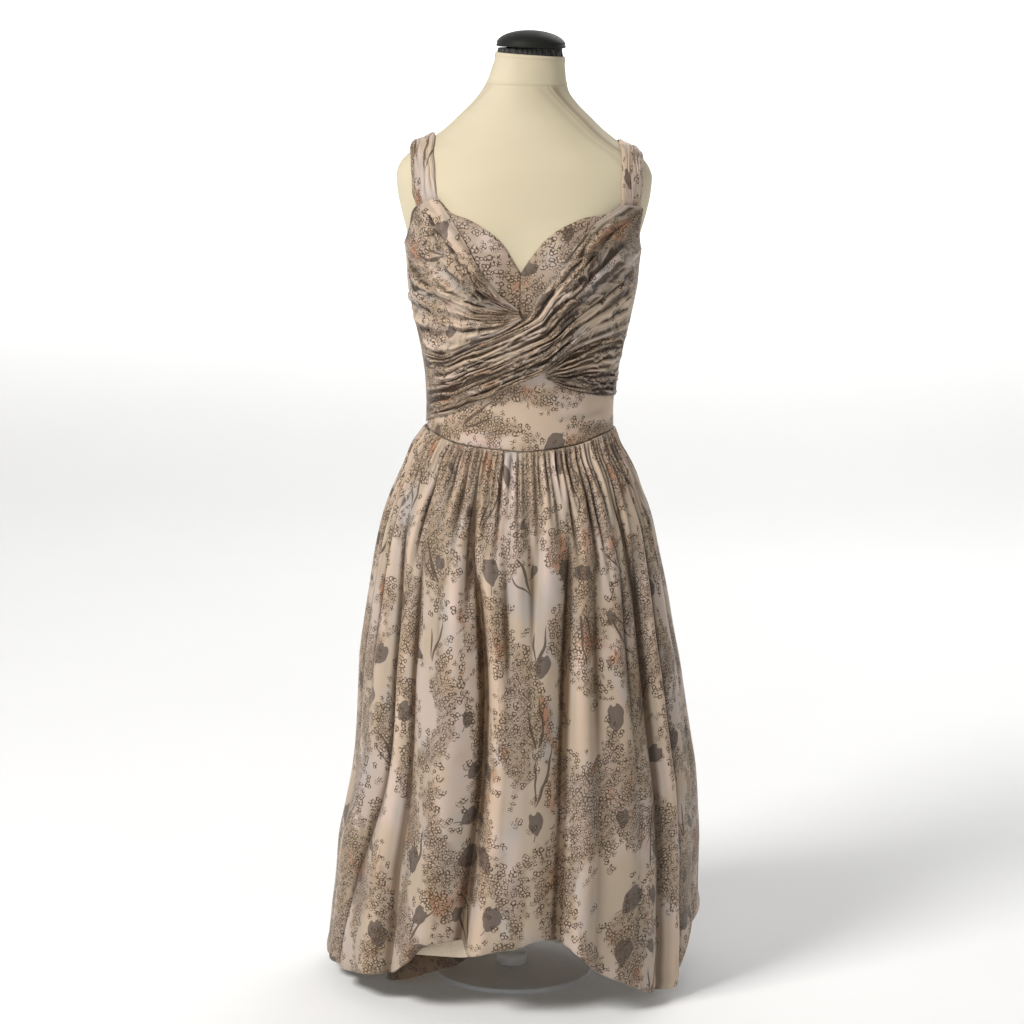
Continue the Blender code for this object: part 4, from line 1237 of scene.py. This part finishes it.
def skirt_lining(finish):
    """A plain lining inside the skirt's folds, sewn up at the back."""
    angle, share = np.meshgrid(np.linspace(-180, 180, LINING_COLUMNS + 1), np.linspace(0, 1, LINING_ROWS))
    top = waist_at(angle) - SEAM
    drop = LINING_TOP + share**1.3 * (top - lining_hem_at(angle) - LINING_TOP)
    ripple = 1 - np.sin(np.radians(angle) * 17 + 2 * np.sin(drop * 5))
    inside = lining_clear_at(drop) + 0.0012 * smooth(drop / 0.2) * ripple
    cloth = np.stack([np.radians(angle) * 0.22, -drop], axis=-1)
    grid = skirt_surface(angle, drop, inside)
    return shell("lining_skirt", grid, cloth, np.full(drop.shape, 0.3), LINING_WALL, finish)


def hem_facing(finish):
    """A strip of the print inside the left front hem, painted in full shade."""
    columns = np.linspace(FACING_HEM[0][0], FACING_HEM[-1][0], FACING_COLUMNS)
    angle, share = np.meshgrid(columns, np.linspace(0, 1, FACING_ROWS))
    drop = waist_at(angle) - SEAM - (facing_hem_at(angle) + FACING_TALL * (1 - share))
    inside = FACING_INSIDE + 0.0015 * np.sin(np.radians(angle) * 40)
    cloth = np.stack([np.radians(angle) * SKIRT_FLAT_RADIUS + 3.0, -drop], axis=-1)
    grid = skirt_surface(angle, drop, inside)
    return shell("cloth_hem_facing", grid, cloth, np.ones(drop.shape), LINING_WALL, finish)


# Finishes


class Wiring:
    """Short calls that add nodes to one node tree and join them."""

    def __init__(self, tree):
        self.tree = tree

    def feed(self, socket, value):
        if isinstance(value, bpy.types.NodeSocket):
            self.tree.links.new(value, socket)
        else:
            socket.default_value = value

    def node(self, kind, inputs=None, **settings):
        made = self.tree.nodes.new(kind)
        for name, value in settings.items():
            setattr(made, name, value)
        for name, value in (inputs or {}).items():
            self.feed(made.inputs[name], value)
        return made

    def math(self, operation, *values):
        made = self.node("ShaderNodeMath", operation=operation)
        for socket, value in zip(made.inputs, values):
            self.feed(socket, value)
        return made.outputs[0]

    scaled = partialmethod(math, "MULTIPLY_ADD")  # a value, a factor, and what is added
    times = partialmethod(math, "MULTIPLY")
    over = partialmethod(math, "DIVIDE")
    plus = partialmethod(math, "ADD")
    minus = partialmethod(math, "SUBTRACT")
    above = partialmethod(math, "GREATER_THAN")
    larger = partialmethod(math, "MAXIMUM")
    size = partialmethod(math, "ABSOLUTE")
    sine = partialmethod(math, "SINE")

    def distance(self, x, y):
        return self.math("SQRT", self.plus(self.times(x, x), self.times(y, y)))

    def vector(self, operation, *values):
        made = self.node("ShaderNodeVectorMath", operation=operation)
        for socket, value in zip(made.inputs, values):
            self.feed(socket, value)
        return made.outputs["Value" if operation == "LENGTH" else "Vector"]

    def blend(self, share, low, high, way="MIX"):
        made = self.node("ShaderNodeMix", data_type="RGBA", blend_type=way)
        self.feed(made.inputs[0], share)
        self.feed(made.inputs[6], low)
        self.feed(made.inputs[7], high)
        return made.outputs[2]

    def step(self, value, low, high):
        """0 up to `low`, 1 from `high` on, and smooth between them."""
        made = self.node("ShaderNodeMapRange", {"Value": value, "From Min": low, "From Max": high})
        made.interpolation_type = "SMOOTHSTEP"
        return made.outputs["Result"]

    def parts(self, vector):
        made = self.node("ShaderNodeSeparateXYZ", {"Vector": vector})
        return made.outputs[0], made.outputs[1]

    def noise(self, vector, scale, detail=2.0, roughness=0.5, kind="2D"):
        made = self.node("ShaderNodeTexNoise", {"Vector": vector, "Scale": scale, "Detail": detail,
                                                "Roughness": roughness}, noise_dimensions=kind)
        return made.outputs["Fac"]

    def cells(self, vector, size, spread):
        """Of scattered cells of this size: the place inside one, its own centre and three random values."""
        grid = self.vector("MULTIPLY", vector, (1 / size, 1 / size, 0))
        made = self.node("ShaderNodeTexVoronoi", {"Vector": grid, "Scale": 1.0, "Randomness": spread},
                         voronoi_dimensions="2D")
        middle = made.outputs["Position"]
        inside = self.vector("MULTIPLY", self.vector("SUBTRACT", grid, middle), (size, size, 0))
        centre = self.vector("MULTIPLY", middle, (size, size, 0))
        random = self.node("ShaderNodeSeparateColor", {"Color": made.outputs["Color"]}).outputs
        return inside, centre, random

    def on_cloth(self):
        """The place on the flat cloth, in metres."""
        return self.node("ShaderNodeUVMap", uv_map="cloth").outputs[0]

    def in_place(self):
        return self.node("ShaderNodeTexCoord").outputs["Object"]

    def fold_shade(self):
        """The painted shade: 1 deep in a fold, and -1 on a crest, where it is a painted highlight."""
        return self.node("ShaderNodeAttribute", attribute_name="fold_shade").outputs["Fac"]

    def turn(self, vector, angle):
        return self.node("ShaderNodeVectorRotate", {"Vector": vector, "Angle": angle},
                         rotation_type="Z_AXIS").outputs[0]

    def group(self, tree, inputs):
        made = self.node("ShaderNodeGroup", node_tree=tree)
        for name, value in inputs.items():
            self.feed(made.inputs[name], value)
        return made.outputs


def shader_group(name, inputs, outputs, fill):
    """A node group with named sockets, filled by a function of its wiring and its inputs."""
    tree = bpy.data.node_groups.new(name, "ShaderNodeTree")
    for title in inputs:
        kind = "NodeSocketVector" if title == "Cloth" else "NodeSocketFloat"
        tree.interface.new_socket(title, in_out="INPUT", socket_type=kind)
    for title in outputs:
        tree.interface.new_socket(title, in_out="OUTPUT", socket_type="NodeSocketFloat")
    wiring = Wiring(tree)
    given = tree.nodes.new("NodeGroupInput")
    result = tree.nodes.new("NodeGroupOutput")
    for title, value in zip(outputs, fill(wiring, given.outputs)):
        wiring.feed(result.inputs[title], value)
    return tree


# The print, in metres on the cloth
FLORET_CELL = 0.0098
FLORET_LOOP = 0.00205  # radius of one loop
FLORET_ARM = 0.0024  # from the floret's middle to the middle of a loop
FLORET_LINE = 0.00058  # half of a drawn line's width
FLORET_SCATTER = 0.62
LOOP_GAP = 0.0010  # half of the gap left open in some loops
LOOP_GAP_OFF = 0.0006
SINGLE_FROM = 0.95  # florets whose random value is above this stand alone, outside the patches
PATCH_WIDE = 0.052
PATCH_LONG = 0.135
PETAL_CELL = 0.066
PETAL_SCATTER = 0.80
PETAL_SHORTEST = 0.0100
PETAL_LONGER = 0.0110  # most that a petal is longer than the shortest
NOTCH_OFF = 0.0030
NOTCH_RADIUS = 0.0028
STALK_HALF = 0.0009
STEM_CELL = 0.095
STEM_SCATTER = 0.55
STEM_ROOT = 0.042  # below the middle of its cell
TURN = 2 * math.pi
BLADES = (
    # turn in radians, length, half width, bow
    (-0.20, 0.066, 0.0015, 3.0),
    (0.02, 0.086, 0.0020, -2.5),
    (0.24, 0.050, 0.0013, 5.0),
)
WASHES_DRAWN = (
    # shift, swells per metre across and along, value where it starts and where it is full: rust, slate, pale
    (3.1, 24, 15, 0.60, 0.74),
    (7.7, 17, 9, 0.54, 0.72),
    (1.3, 13, 8, 0.44, 0.66),
)


def by_hand(w, cloth, per_metre, most):
    """The cloth's place, strayed a little, so that what is drawn there looks drawn by hand."""
    noise = {"Vector": cloth, "Scale": per_metre, "Detail": 1.0}
    stray = w.node("ShaderNodeTexNoise", noise, noise_dimensions="2D")
    shift = w.vector("SUBTRACT", stray.outputs["Color"], (0.5, 0.5, 0.5))
    return w.vector("ADD", cloth, w.vector("MULTIPLY", shift, (2 * most, 2 * most, 0)))


def draw_florets(w, given):
    """Florets of two to four loops in fine outline, some left open, crowded in long patches."""
    inside, centre, random = w.cells(by_hand(w, given["Cloth"], 210.0, 0.0019), FLORET_CELL, FLORET_SCATTER)
    x, y = w.parts(inside)
    more = w.plus(w.above(random[1], 0.40), w.above(random[1], 0.80))
    sector = w.over(TURN, w.plus(2.0, more))
    a = w.scaled(random[0], 6.283, w.math("ARCTAN2", y, x))
    folded = w.minus(w.math("WRAP", a, sector, 0.0), w.times(sector, 0.5))
    far = w.times(w.vector("LENGTH", inside), w.scaled(random[2], 0.40, 0.82))
    dx = w.scaled(far, w.math("COSINE", folded), -FLORET_ARM)
    dy = w.times(w.times(far, w.sine(folded)), w.scaled(random[2], 0.5, 0.8))
    off = w.minus(w.distance(dx, dy), FLORET_LOOP)
    thick = w.scaled(w.noise(given["Cloth"], 300.0, 1.0), 0.0007, FLORET_LINE - 0.00035)
    line = w.step(w.minus(w.size(off), thick), 0.00022, -0.00012)
    # Half of the florets have a gap in the outer side of each loop.
    gap_wide = w.times(w.above(random[2], 0.5), LOOP_GAP)
    in_gap = w.math("LESS_THAN", w.size(w.minus(dy, LOOP_GAP_OFF)), gap_wide)
    line = w.times(line, w.minus(1.0, w.times(in_gap, w.above(dx, 0.0))))
    petal = w.step(off, 0.0, -2 * FLORET_LINE)
    bend = w.noise(w.vector("MULTIPLY", centre, (9.0, 9.0, 0)), 1.0, 1.0)
    slide = w.node("ShaderNodeCombineXYZ", {"X": w.times(bend, 1.6)}).outputs[0]

    def patches(at):
        spread = w.vector("MULTIPLY", at, (1 / PATCH_WIDE, 1 / PATCH_LONG, 0))
        return w.noise(w.vector("ADD", spread, slide), 1.0, 2.0, 0.5)

    wanted = w.scaled(given["Fill"], -0.28, 0.615)
    dense = w.above(patches(centre), w.scaled(random[0], 0.12, wanted))
    shown = w.larger(dense, w.above(random[1], SINGLE_FROM))
    between = w.step(patches(given["Cloth"]), w.plus(wanted, 0.05), w.plus(wanted, 0.18))
    return w.times(line, shown), w.times(petal, shown), w.times(between, w.scaled(petal, -0.5, 1.0))


def wanted_share(w, random, share):
    """1 in this share of the cells."""
    return w.above(random[1], w.minus(1.0, share))


def draw_petals(w, given):
    """Single fallen petals: broad, pointed at one end and notched at the other, with a short stalk."""
    inside, _, random = w.cells(by_hand(w, given["Cloth"], 55.0, 0.0030), PETAL_CELL, PETAL_SCATTER)
    lean = w.scaled(w.above(random[1], 0.5), math.pi, w.scaled(random[0], 2.6, -1.3))
    x, y = w.parts(w.turn(inside, lean))
    long = w.scaled(w.math("POWER", random[2], 1.3), PETAL_LONGER, PETAL_SHORTEST)
    t = w.over(y, long)
    bow = w.minus(1.0, w.times(t, t))
    wide = w.math("POWER", w.larger(bow, 0.0), w.scaled(t, 0.14, 0.66))
    plump = w.scaled(t, -0.16, w.scaled(random[0], 0.34, 0.44))
    away = w.minus(w.size(w.scaled(t, 0.0012, x)), w.times(wide, w.times(long, plump)))
    petal = w.times(w.step(away, 0.0003, -0.0003), w.above(bow, 0.0))
    notch = w.distance(w.scaled(long, 0.97, y), w.minus(x, NOTCH_OFF))
    petal = w.times(petal, w.step(notch, NOTCH_RADIUS, NOTCH_RADIUS + 0.0006))
    off_stalk = w.size(w.minus(x, w.times(w.times(t, t), 0.0022)))
    stalk = w.times(w.step(off_stalk, STALK_HALF, 0.0005), w.math("COMPARE", t, 1.15, 0.28))
    vein = w.times(w.step(off_stalk, 0.0006, 0.0001), w.above(t, -0.5))
    shape = w.larger(w.times(petal, w.scaled(vein, -0.14, 1.0)), stalk)
    return (w.times(shape, wanted_share(w, random, given["Share"])),)


def draw_stems(w, given):
    """Slender blades of grass, three from one root."""
    inside, _, random = w.cells(by_hand(w, given["Cloth"], 25.0, 0.0060), STEM_CELL, STEM_SCATTER)
    lean = w.scaled(w.above(random[2], 0.7), math.pi, w.scaled(random[0], 1.5, -0.75))
    rooted = w.vector("ADD", w.turn(inside, lean), (0, STEM_ROOT, 0))
    found = 0.0
    for turn, long, half_width, bow in BLADES:
        x, y = w.parts(w.turn(rooted, turn))
        t = w.over(y, w.times(w.scaled(random[2], 0.5, 0.65), long))
        lens = w.times(w.larger(w.times(t, w.minus(1.0, t)), 0.0), 4 * half_width)
        middle = w.times(w.times(y, w.minus(y, long)), bow)
        away = w.minus(w.size(w.minus(x, middle)), lens)
        blade = w.times(w.step(away, 0.00025, -0.00025), w.math("COMPARE", t, 0.5, 0.5))
        found = w.larger(blade, found)
    return (w.times(found, wanted_share(w, random, given["Share"])),)


def draw_washes(w, given):
    """Three soft washes of watercolour."""
    found = []
    for shift, wide, long, low, high in WASHES_DRAWN:
        moved = w.vector("MULTIPLY", w.vector("ADD", given["Cloth"], (shift, shift, 0)), (wide, long, 0))
        found.append(w.step(w.noise(moved, 1.0, 2.5, 0.5), low, high))
    return found


def draw_weave(w, given):
    """A plain fine weave with a soft crinkle: its height, and how its threads vary in colour."""
    grid = w.vector("MULTIPLY", given["Cloth"], (1.0, 1.0, 0))
    per_thread = w.over(6.283, given["Thread"])
    x, y = w.parts(grid)
    over = w.times(w.sine(w.times(x, per_thread)), w.sine(w.times(y, per_thread)))
    slub = w.noise(w.vector("MULTIPLY", grid, (160.0, 1400.0, 0)), 1.0, 2.0)
    crinkle = w.noise(w.vector("MULTIPLY", grid, (210.0, 120.0, 0)), 1.0, 3.0, 0.6)
    height = w.scaled(over, 0.16, w.times(crinkle, given["Crinkle"]))
    return w.scaled(slub, 0.15, height), slub


def draw_knit(w, given):
    """Fine jersey: upright ribs of small loops."""
    x, y = w.parts(given["Cloth"])
    per_thread = w.over(6.283, given["Thread"])
    rib = w.sine(w.times(x, per_thread))
    loops = w.sine(w.scaled(w.size(rib), 1.2, w.times(y, per_thread)))
    fuzz = w.noise(w.vector("MULTIPLY", given["Cloth"], (900.0, 700.0, 0)), 1.0, 2.0)
    height = w.scaled(rib, 0.4, w.times(loops, 0.2))
    return w.scaled(fuzz, 0.5, height), fuzz


def draw_speckle(w, given):
    """Fine dust and handling marks of a hard surface, and its slight unevenness."""
    fine = w.noise(given["Cloth"], 900.0, 3.0, 0.6, "3D")
    slow = w.noise(given["Cloth"], 22.0, 3.0, 0.6, "3D")
    return w.scaled(slow, 0.6, w.times(fine, 0.4)), fine


FLORETS = shader_group("florets", ("Cloth", "Fill"), ("Line", "Petal", "Between"), draw_florets)
PETALS = shader_group("petals", ("Cloth", "Share"), ("Petal",), draw_petals)
STEMS = shader_group("stems", ("Cloth", "Share"), ("Stem",), draw_stems)
WASHES = shader_group("washes", ("Cloth",), ("Rust", "Slate", "Pale"), draw_washes)
WEAVE = shader_group("weave", ("Cloth", "Thread", "Crinkle"), ("Height", "Threads"), draw_weave)
KNIT = shader_group("knit", ("Cloth", "Thread"), ("Height", "Fuzz"), draw_knit)
SPECKLE = shader_group("speckle", ("Cloth",), ("Marks", "Fine"), draw_speckle)

INK = {
    # colours of the print, linear, and the painted shade and painted highlight that tint it in folds and on
    # crests
    "ground": (0.448, 0.352, 0.262, 1),
    "ground_pale": (0.500, 0.402, 0.338, 1),
    "floret": (0.070, 0.041, 0.019, 1),
    "between": (0.215, 0.140, 0.075, 1),
    "petal": (0.122, 0.092, 0.074, 1),
    "stem": (0.080, 0.055, 0.038, 1),
    "rust": (0.380, 0.155, 0.070, 1),
    "slate": (0.360, 0.350, 0.350, 1),
    "fold": (0.260, 0.190, 0.118, 1),
    "painted_deep_fold_shade": (0.170, 0.125, 0.088, 1),
    "crest": (1.300, 1.250, 1.240, 1),
}
SECOND_FLORETS = (0.0051, 0.0046, 0)  # shift of the fainter, sparser florets behind the first ones
CHIFFON_THREAD = 0.0008
LINING_THREAD = 0.0005
JERSEY_THREAD = 0.0011
TIE_THREAD = 0.0007


def new_finish(name, settings):
    """A material whose Principled shader has its plain values set, and the wiring to add the rest."""
    made = bpy.data.materials.new(name)
    made.use_nodes = True
    for title, value in settings.items():
        made.node_tree.nodes["Principled BSDF"].inputs[title].default_value = value
    return made, Wiring(made.node_tree)


def complete(made, w, colour, roughness, height, distance, strength):
    """Feeds a material's colour, roughness and fine relief to its shader."""
    shader = made.node_tree.nodes["Principled BSDF"]
    relief = w.node("ShaderNodeBump", {"Height": height, "Distance": distance, "Strength": strength})
    w.feed(shader.inputs["Base Color"], colour)
    w.feed(shader.inputs["Roughness"], w.scaled(*roughness))
    w.feed(shader.inputs["Normal"], relief.outputs["Normal"])
    return made


def printed_chiffon(name, fill, painted_shade_share, fold="fold", petal_share=0.44):
    """Sheer print over a cream lining: deeper in colour in a fold, partly as doubled sheer cloth and partly
    as painted shade, and paler on a crest, as a painted highlight.
    """
    sheen = {"Sheen Weight": 0.08, "Sheen Roughness": 0.35, "Specular IOR Level": 0.32}
    made, w = new_finish(name, sheen)
    cloth = w.on_cloth()
    florets = w.group(FLORETS, {"Cloth": cloth, "Fill": fill})
    shifted = w.vector("ADD", cloth, SECOND_FLORETS)
    second = w.group(FLORETS, {"Cloth": shifted, "Fill": fill * 0.50})
    petals = w.group(PETALS, {"Cloth": cloth, "Share": petal_share})
    stems = w.group(STEMS, {"Cloth": cloth, "Share": 0.50})
    washes = w.group(WASHES, {"Cloth": cloth})
    weave = w.group(WEAVE, {"Cloth": cloth, "Thread": CHIFFON_THREAD, "Crinkle": 0.5})
    colour = w.blend(washes["Pale"], INK["ground"], INK["ground_pale"])
    layers = (
        # ink, its mask, strength
        ("slate", washes["Slate"], 0.50),
        ("between", florets["Between"], 0.48),
        ("rust", washes["Rust"], w.scaled(florets["Between"], 0.55, 0.12)),
        ("stem", stems["Stem"], 0.88),
        ("petal", petals["Petal"], 0.94),
        ("floret", w.larger(florets["Line"], w.times(second["Line"], 0.62)), 0.92),
    )
    for ink, mask, strength in layers:
        colour = w.blend(w.times(mask, strength), colour, INK[ink])
    # Painted shade deep in the folds, and a painted highlight on the crests.
    deep = w.fold_shade()
    painted_shade_colour = w.blend(1.0, colour, INK[fold], "MULTIPLY")
    on_crest = w.blend(1.0, colour, INK["crest"], "MULTIPLY")
    colour = w.blend(w.step(deep, -0.03, -0.75), colour, on_crest)
    colour = w.blend(w.times(w.step(deep, 0.05, 0.90), painted_shade_share), colour, painted_shade_colour)
    return complete(made, w, colour, (weave["Threads"], 0.16, 0.42), weave["Height"], 0.0004, 0.6)


def lining_satin():
    made, w = new_finish("lining_satin", {"Sheen Weight": 0.1})
    weave = w.group(WEAVE, {"Cloth": w.on_cloth(), "Thread": LINING_THREAD, "Crinkle": 0.7})
    cream = w.blend(w.step(weave["Threads"], 0.3, 0.7), (0.700, 0.560, 0.390, 1), (0.800, 0.680, 0.510, 1))
    return complete(made, w, cream, (weave["Threads"], 0.15, 0.38), weave["Height"], 0.0004, 0.5)


def cream_jersey():
    """The form's stretched jersey, slightly uneven in tone, darker in its seams, and with painted shade
    beside its shoulder seams.
    """
    sheen = {"Sheen Weight": 0.25, "Sheen Roughness": 0.5, "Specular IOR Level": 0.3}
    made, w = new_finish("cream_jersey", sheen)
    cloth = w.on_cloth()
    knit = w.group(KNIT, {"Cloth": cloth, "Thread": JERSEY_THREAD})
    slow = w.noise(w.vector("MULTIPLY", cloth, (5.0, 7.0, 0)), 1.0, 2.0)
    cream = w.blend(w.step(slow, 0.35, 0.65), (0.640, 0.555, 0.385, 1), (0.690, 0.602, 0.425, 1))
    cream = w.blend(w.times(knit["Fuzz"], 0.12), cream, (0.470, 0.390, 0.260, 1))
    # Brown in the painted shade beside the shoulder seams, and in the seams and stitching.
    cream = w.blend(w.times(w.fold_shade(), 0.65), cream, (0.250, 0.175, 0.095, 1))
    return complete(made, w, cream, (knit["Fuzz"], 0.15, 0.74), knit["Height"], 0.0003, 0.5)


def charcoal_cloth():
    """The dark gathered cloth that ties off the form's neck."""
    made, w = new_finish("charcoal_cloth", {"Sheen Weight": 0.3, "Specular IOR Level": 0.3})
    weave = w.group(WEAVE, {"Cloth": w.on_cloth(), "Thread": TIE_THREAD, "Crinkle": 0.8})
    dark = w.blend(weave["Threads"], (0.022, 0.022, 0.020, 1), (0.060, 0.058, 0.052, 1))
    # Painted shade deep between the pleats.
    dark = w.blend(w.fold_shade(), dark, (0.010, 0.010, 0.009, 1))
    return complete(made, w, dark, (weave["Threads"], 0.2, 0.65), weave["Height"], 0.0004, 0.6)


def hard_surface(name, specular, dark, light, roughness, relief):
    """A smooth hard surface with faint dust and handling marks."""
    made, w = new_finish(name, {"Specular IOR Level": specular})
    speckle = w.group(SPECKLE, {"Cloth": w.in_place()})
    colour = w.blend(speckle["Marks"], dark, light)
    output, distance, strength = relief
    return complete(made, w, colour, (speckle["Marks"], *roughness), speckle[output], distance, strength)


def black_gloss():
    return hard_surface("black_gloss", 0.12, (0.012, 0.013, 0.011, 1), (0.024, 0.025, 0.021, 1),
                        (0.30, 0.40), ("Marks", 0.0003, 0.25))


def white_enamel():
    return hard_surface("white_enamel", 0.5, (0.700, 0.690, 0.660, 1), (0.840, 0.830, 0.810, 1),
                        (0.35, 0.22), ("Fine", 0.0002, 0.3))


# The studio

CAMERA_BACK = 4.20
CAMERA_HEIGHT = 1.4215
CAMERA_DOWN = 10.4
CAMERA_ROLL = 0.9
CAMERA_FOCUS = 3050  # in pixels of a picture 1024 wide
CAMERA_SHIFT = -7
PICTURE = 1024
FILM = 36  # width in millimetres
LAMPS = (
    # name, place, aim height, size, power, colour
    ("key", (-2.6, -2.4, 3.7), 0.75, 1.5, 190, (1.0, 0.985, 0.965)),
    ("front", (-0.5, -4.4, 1.7), 0.60, 0.9, 17, (0.80, 0.90, 1.0)),
    ("right", (3.4, -1.6, 2.2), 0.70, 1.8, 13, (1.0, 0.96, 0.90)),
    ("back", (1.6, 3.0, 3.0), 0.80, 2.2, 50, (1.0, 1.0, 1.0)),
)
WHITE = (1, 1, 1, 1)
ROOM_LIGHT = 0.17
WALL_GLOW = 0.80  # of the paper itself, which rises from the floor and keeps the background white
GLOW_FROM = -0.1
GLOW_FULL = 1.0
FLOOR_NEAR = -7.0
FLOOR_FAR = 3.2
SWEEP = 1.8
SWEEP_STEPS = 16
WALL_TOP = 6.0
ROOM_HALF = 9.0


def studio_floor():
    """A pale floor that sweeps up into a wall."""
    line = [(FLOOR_NEAR, 0.0)]
    for a in np.linspace(0, math.pi / 2, SWEEP_STEPS + 1):
        line.append((FLOOR_FAR + SWEEP * math.sin(a), SWEEP * (1 - math.cos(a))))
    line.append((FLOOR_FAR + SWEEP, WALL_TOP))
    grid = np.array([[(x, y, z) for x in (-ROOM_HALF, ROOM_HALF)] for y, z in line])
    glow = {"Specular IOR Level": 0.2, "Roughness": 0.9, "Emission Strength": WALL_GLOW}
    made, w = new_finish("studio_paper", glow)
    shader = made.node_tree.nodes["Principled BSDF"]
    paper = w.noise(w.in_place(), 3.0, 2.0, 0.5, "3D")
    w.feed(shader.inputs["Base Color"], w.blend(paper, (0.93, 0.93, 0.925, 1), (0.96, 0.96, 0.955, 1)))
    height = w.node("ShaderNodeSeparateXYZ", {"Vector": w.in_place()}).outputs[2]
    glowing = w.step(height, GLOW_FROM, GLOW_FULL)
    w.feed(shader.inputs["Emission Color"], w.blend(glowing, (0, 0, 0, 1), WHITE))
    size = grid.shape[:2]
    mesh_piece("studio_floor", grid, quads(*size), grid[..., :2], np.zeros(size), made)


def studio_lights():
    world = bpy.data.worlds.new("studio")
    world.use_nodes = True
    back = world.node_tree.nodes["Background"]
    back.inputs[0].default_value = WHITE
    back.inputs[1].default_value = ROOM_LIGHT
    bpy.context.scene.world = world
    for name, place, aim, size, power, colour in LAMPS:
        lamp = bpy.data.lights.new(name, "AREA")
        lamp.size = size
        lamp.energy = power
        lamp.color = colour
        made = bpy.data.objects.new(name, lamp)
        made.location = place
        toward = Vector((0.0, 0.0, aim)) - Vector(place)
        made.rotation_euler = toward.to_track_quat("-Z", "Y").to_euler()
        bpy.context.scene.collection.objects.link(made)


def plain_tones():
    """Colours come out as they are, with no film look."""
    bpy.context.scene.view_settings.view_transform = "Standard"


def studio_camera():
    lens = bpy.data.cameras.new("camera")
    lens.sensor_width = FILM
    lens.lens = FILM * CAMERA_FOCUS / PICTURE
    lens.shift_x = CAMERA_SHIFT / PICTURE
    made = bpy.data.objects.new("camera", lens)
    place = Matrix.Translation((0, -CAMERA_BACK, CAMERA_HEIGHT + DATUM))
    aim = Matrix.Rotation(math.radians(90 - CAMERA_DOWN), 4, "X")
    made.matrix_world = place @ aim @ Matrix.Rotation(math.radians(CAMERA_ROLL), 4, "Z")
    bpy.context.scene.collection.objects.link(made)
    bpy.context.scene.camera = made


# Making it


def place(piece, name, slot, *nodes):
    """Gives a piece its name and its body, and hides the CAD nodes that it stands for. Its slot is not used.
    """
    piece.name = name
    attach(piece, "root")
    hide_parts(*nodes)


def dress_form():
    jersey = cream_jersey()
    enamel = white_enamel()
    place(jersey_cover(jersey), "jersey_cover", "jersey", "form_torso")
    place(neck_tie(charcoal_cloth()), "neck_tie", "neck_cap", "form_torso")
    place(neck_cap(black_gloss()), "cap_dome", "neck_cap", "form_neck_cap")
    place(base_plate(enamel), "stand_plate", "stand", "form_base")
    place(stand_tube(enamel), "stand_tube", "stand", "form_pole")


def under_bust(angle):
    return CUP_SEAM + 0 * angle


def midriff_top(angle):
    return CUP_SEAM - SEAM + 0 * angle


def left_back_at(angle):
    return top_back_at(-angle)


SIDE = 90 - SEAM_ANGLE  # angles of the seams' edges
SIDE_BACK = 90 + SEAM_ANGLE
BACK = 180 - SEAM_ANGLE
LEFT_OF_CENTRE = CENTRE_ANGLE - SEAM_ANGLE
RIGHT_OF_CENTRE = CENTRE_ANGLE + SEAM_ANGLE
PANELS = (
    # name, node, first and last angle,
    #     low and high edge, columns, rows, creased, shift of its cloth
    ("cloth_midriff", "midriff_front", -SIDE, SIDE,
        waist_at, midriff_top, 220, 56, True, (0.0, 0.0)),
    ("cloth_cup_left", "cup_left", -SIDE, LEFT_OF_CENTRE,
        under_bust, top_left_at, 130, 84, False, (0.4, 0.1)),
    ("cloth_cup_right", "cup_right", RIGHT_OF_CENTRE, SIDE,
        under_bust, top_right_at, 130, 84, False, (0.9, 0.3)),
    ("cloth_back_right", "bodice_back_right", SIDE_BACK, BACK,
        waist_at, top_back_at, 80, 90, False, (1.4, 0.2)),
    ("cloth_back_left", "bodice_back_left", -BACK, -SIDE_BACK,
        waist_at, left_back_at, 80, 90, False, (1.9, 0.5)),
)


def bodice():
    plain = printed_chiffon("chiffon_flat", 0.70, 0.6, petal_share=0.12)
    cups = printed_chiffon("chiffon_cups", 1.35, 0.6)
    draped = printed_chiffon("chiffon_draped", 0.85, 1.0, "painted_deep_fold_shade")
    thin = printed_chiffon("chiffon_straps", 0.62, 0.7)
    for name, node, first, last, low, high, columns, rows, creased, offset in PANELS:
        finish = cups if node.startswith("cup") else plain
        made = panel(name, first, last, low, high, columns, rows, finish, creased, offset)
        place(made, name, "printed_chiffon", node)
    for row, name in zip(DRAPES, ("cloth_drape_left", "cloth_wrap", "cloth_side_right")):
        place(drape(*row, draped), name, "printed_chiffon", row[0])
    for row in STRAPS:
        place(strap(*row, thin), "cloth_" + row[0], "printed_chiffon", row[0])


def skirt():
    chiffon = printed_chiffon("chiffon_skirt", 0.84, 1.0)
    for row in GATHERS:
        place(skirt_half(*row, chiffon), "cloth_" + row[0], "printed_chiffon", row[0])
    place(skirt_lining(lining_satin()), "lining_skirt", "lining", "skirt_lining")
    place(hem_facing(chiffon), "cloth_hem_facing", "printed_chiffon", "skirt_lining")


dress_form()
bodice()
skirt()
studio_floor()
studio_lights()
studio_camera()
plain_tones()
bpy.context.view_layer.update()
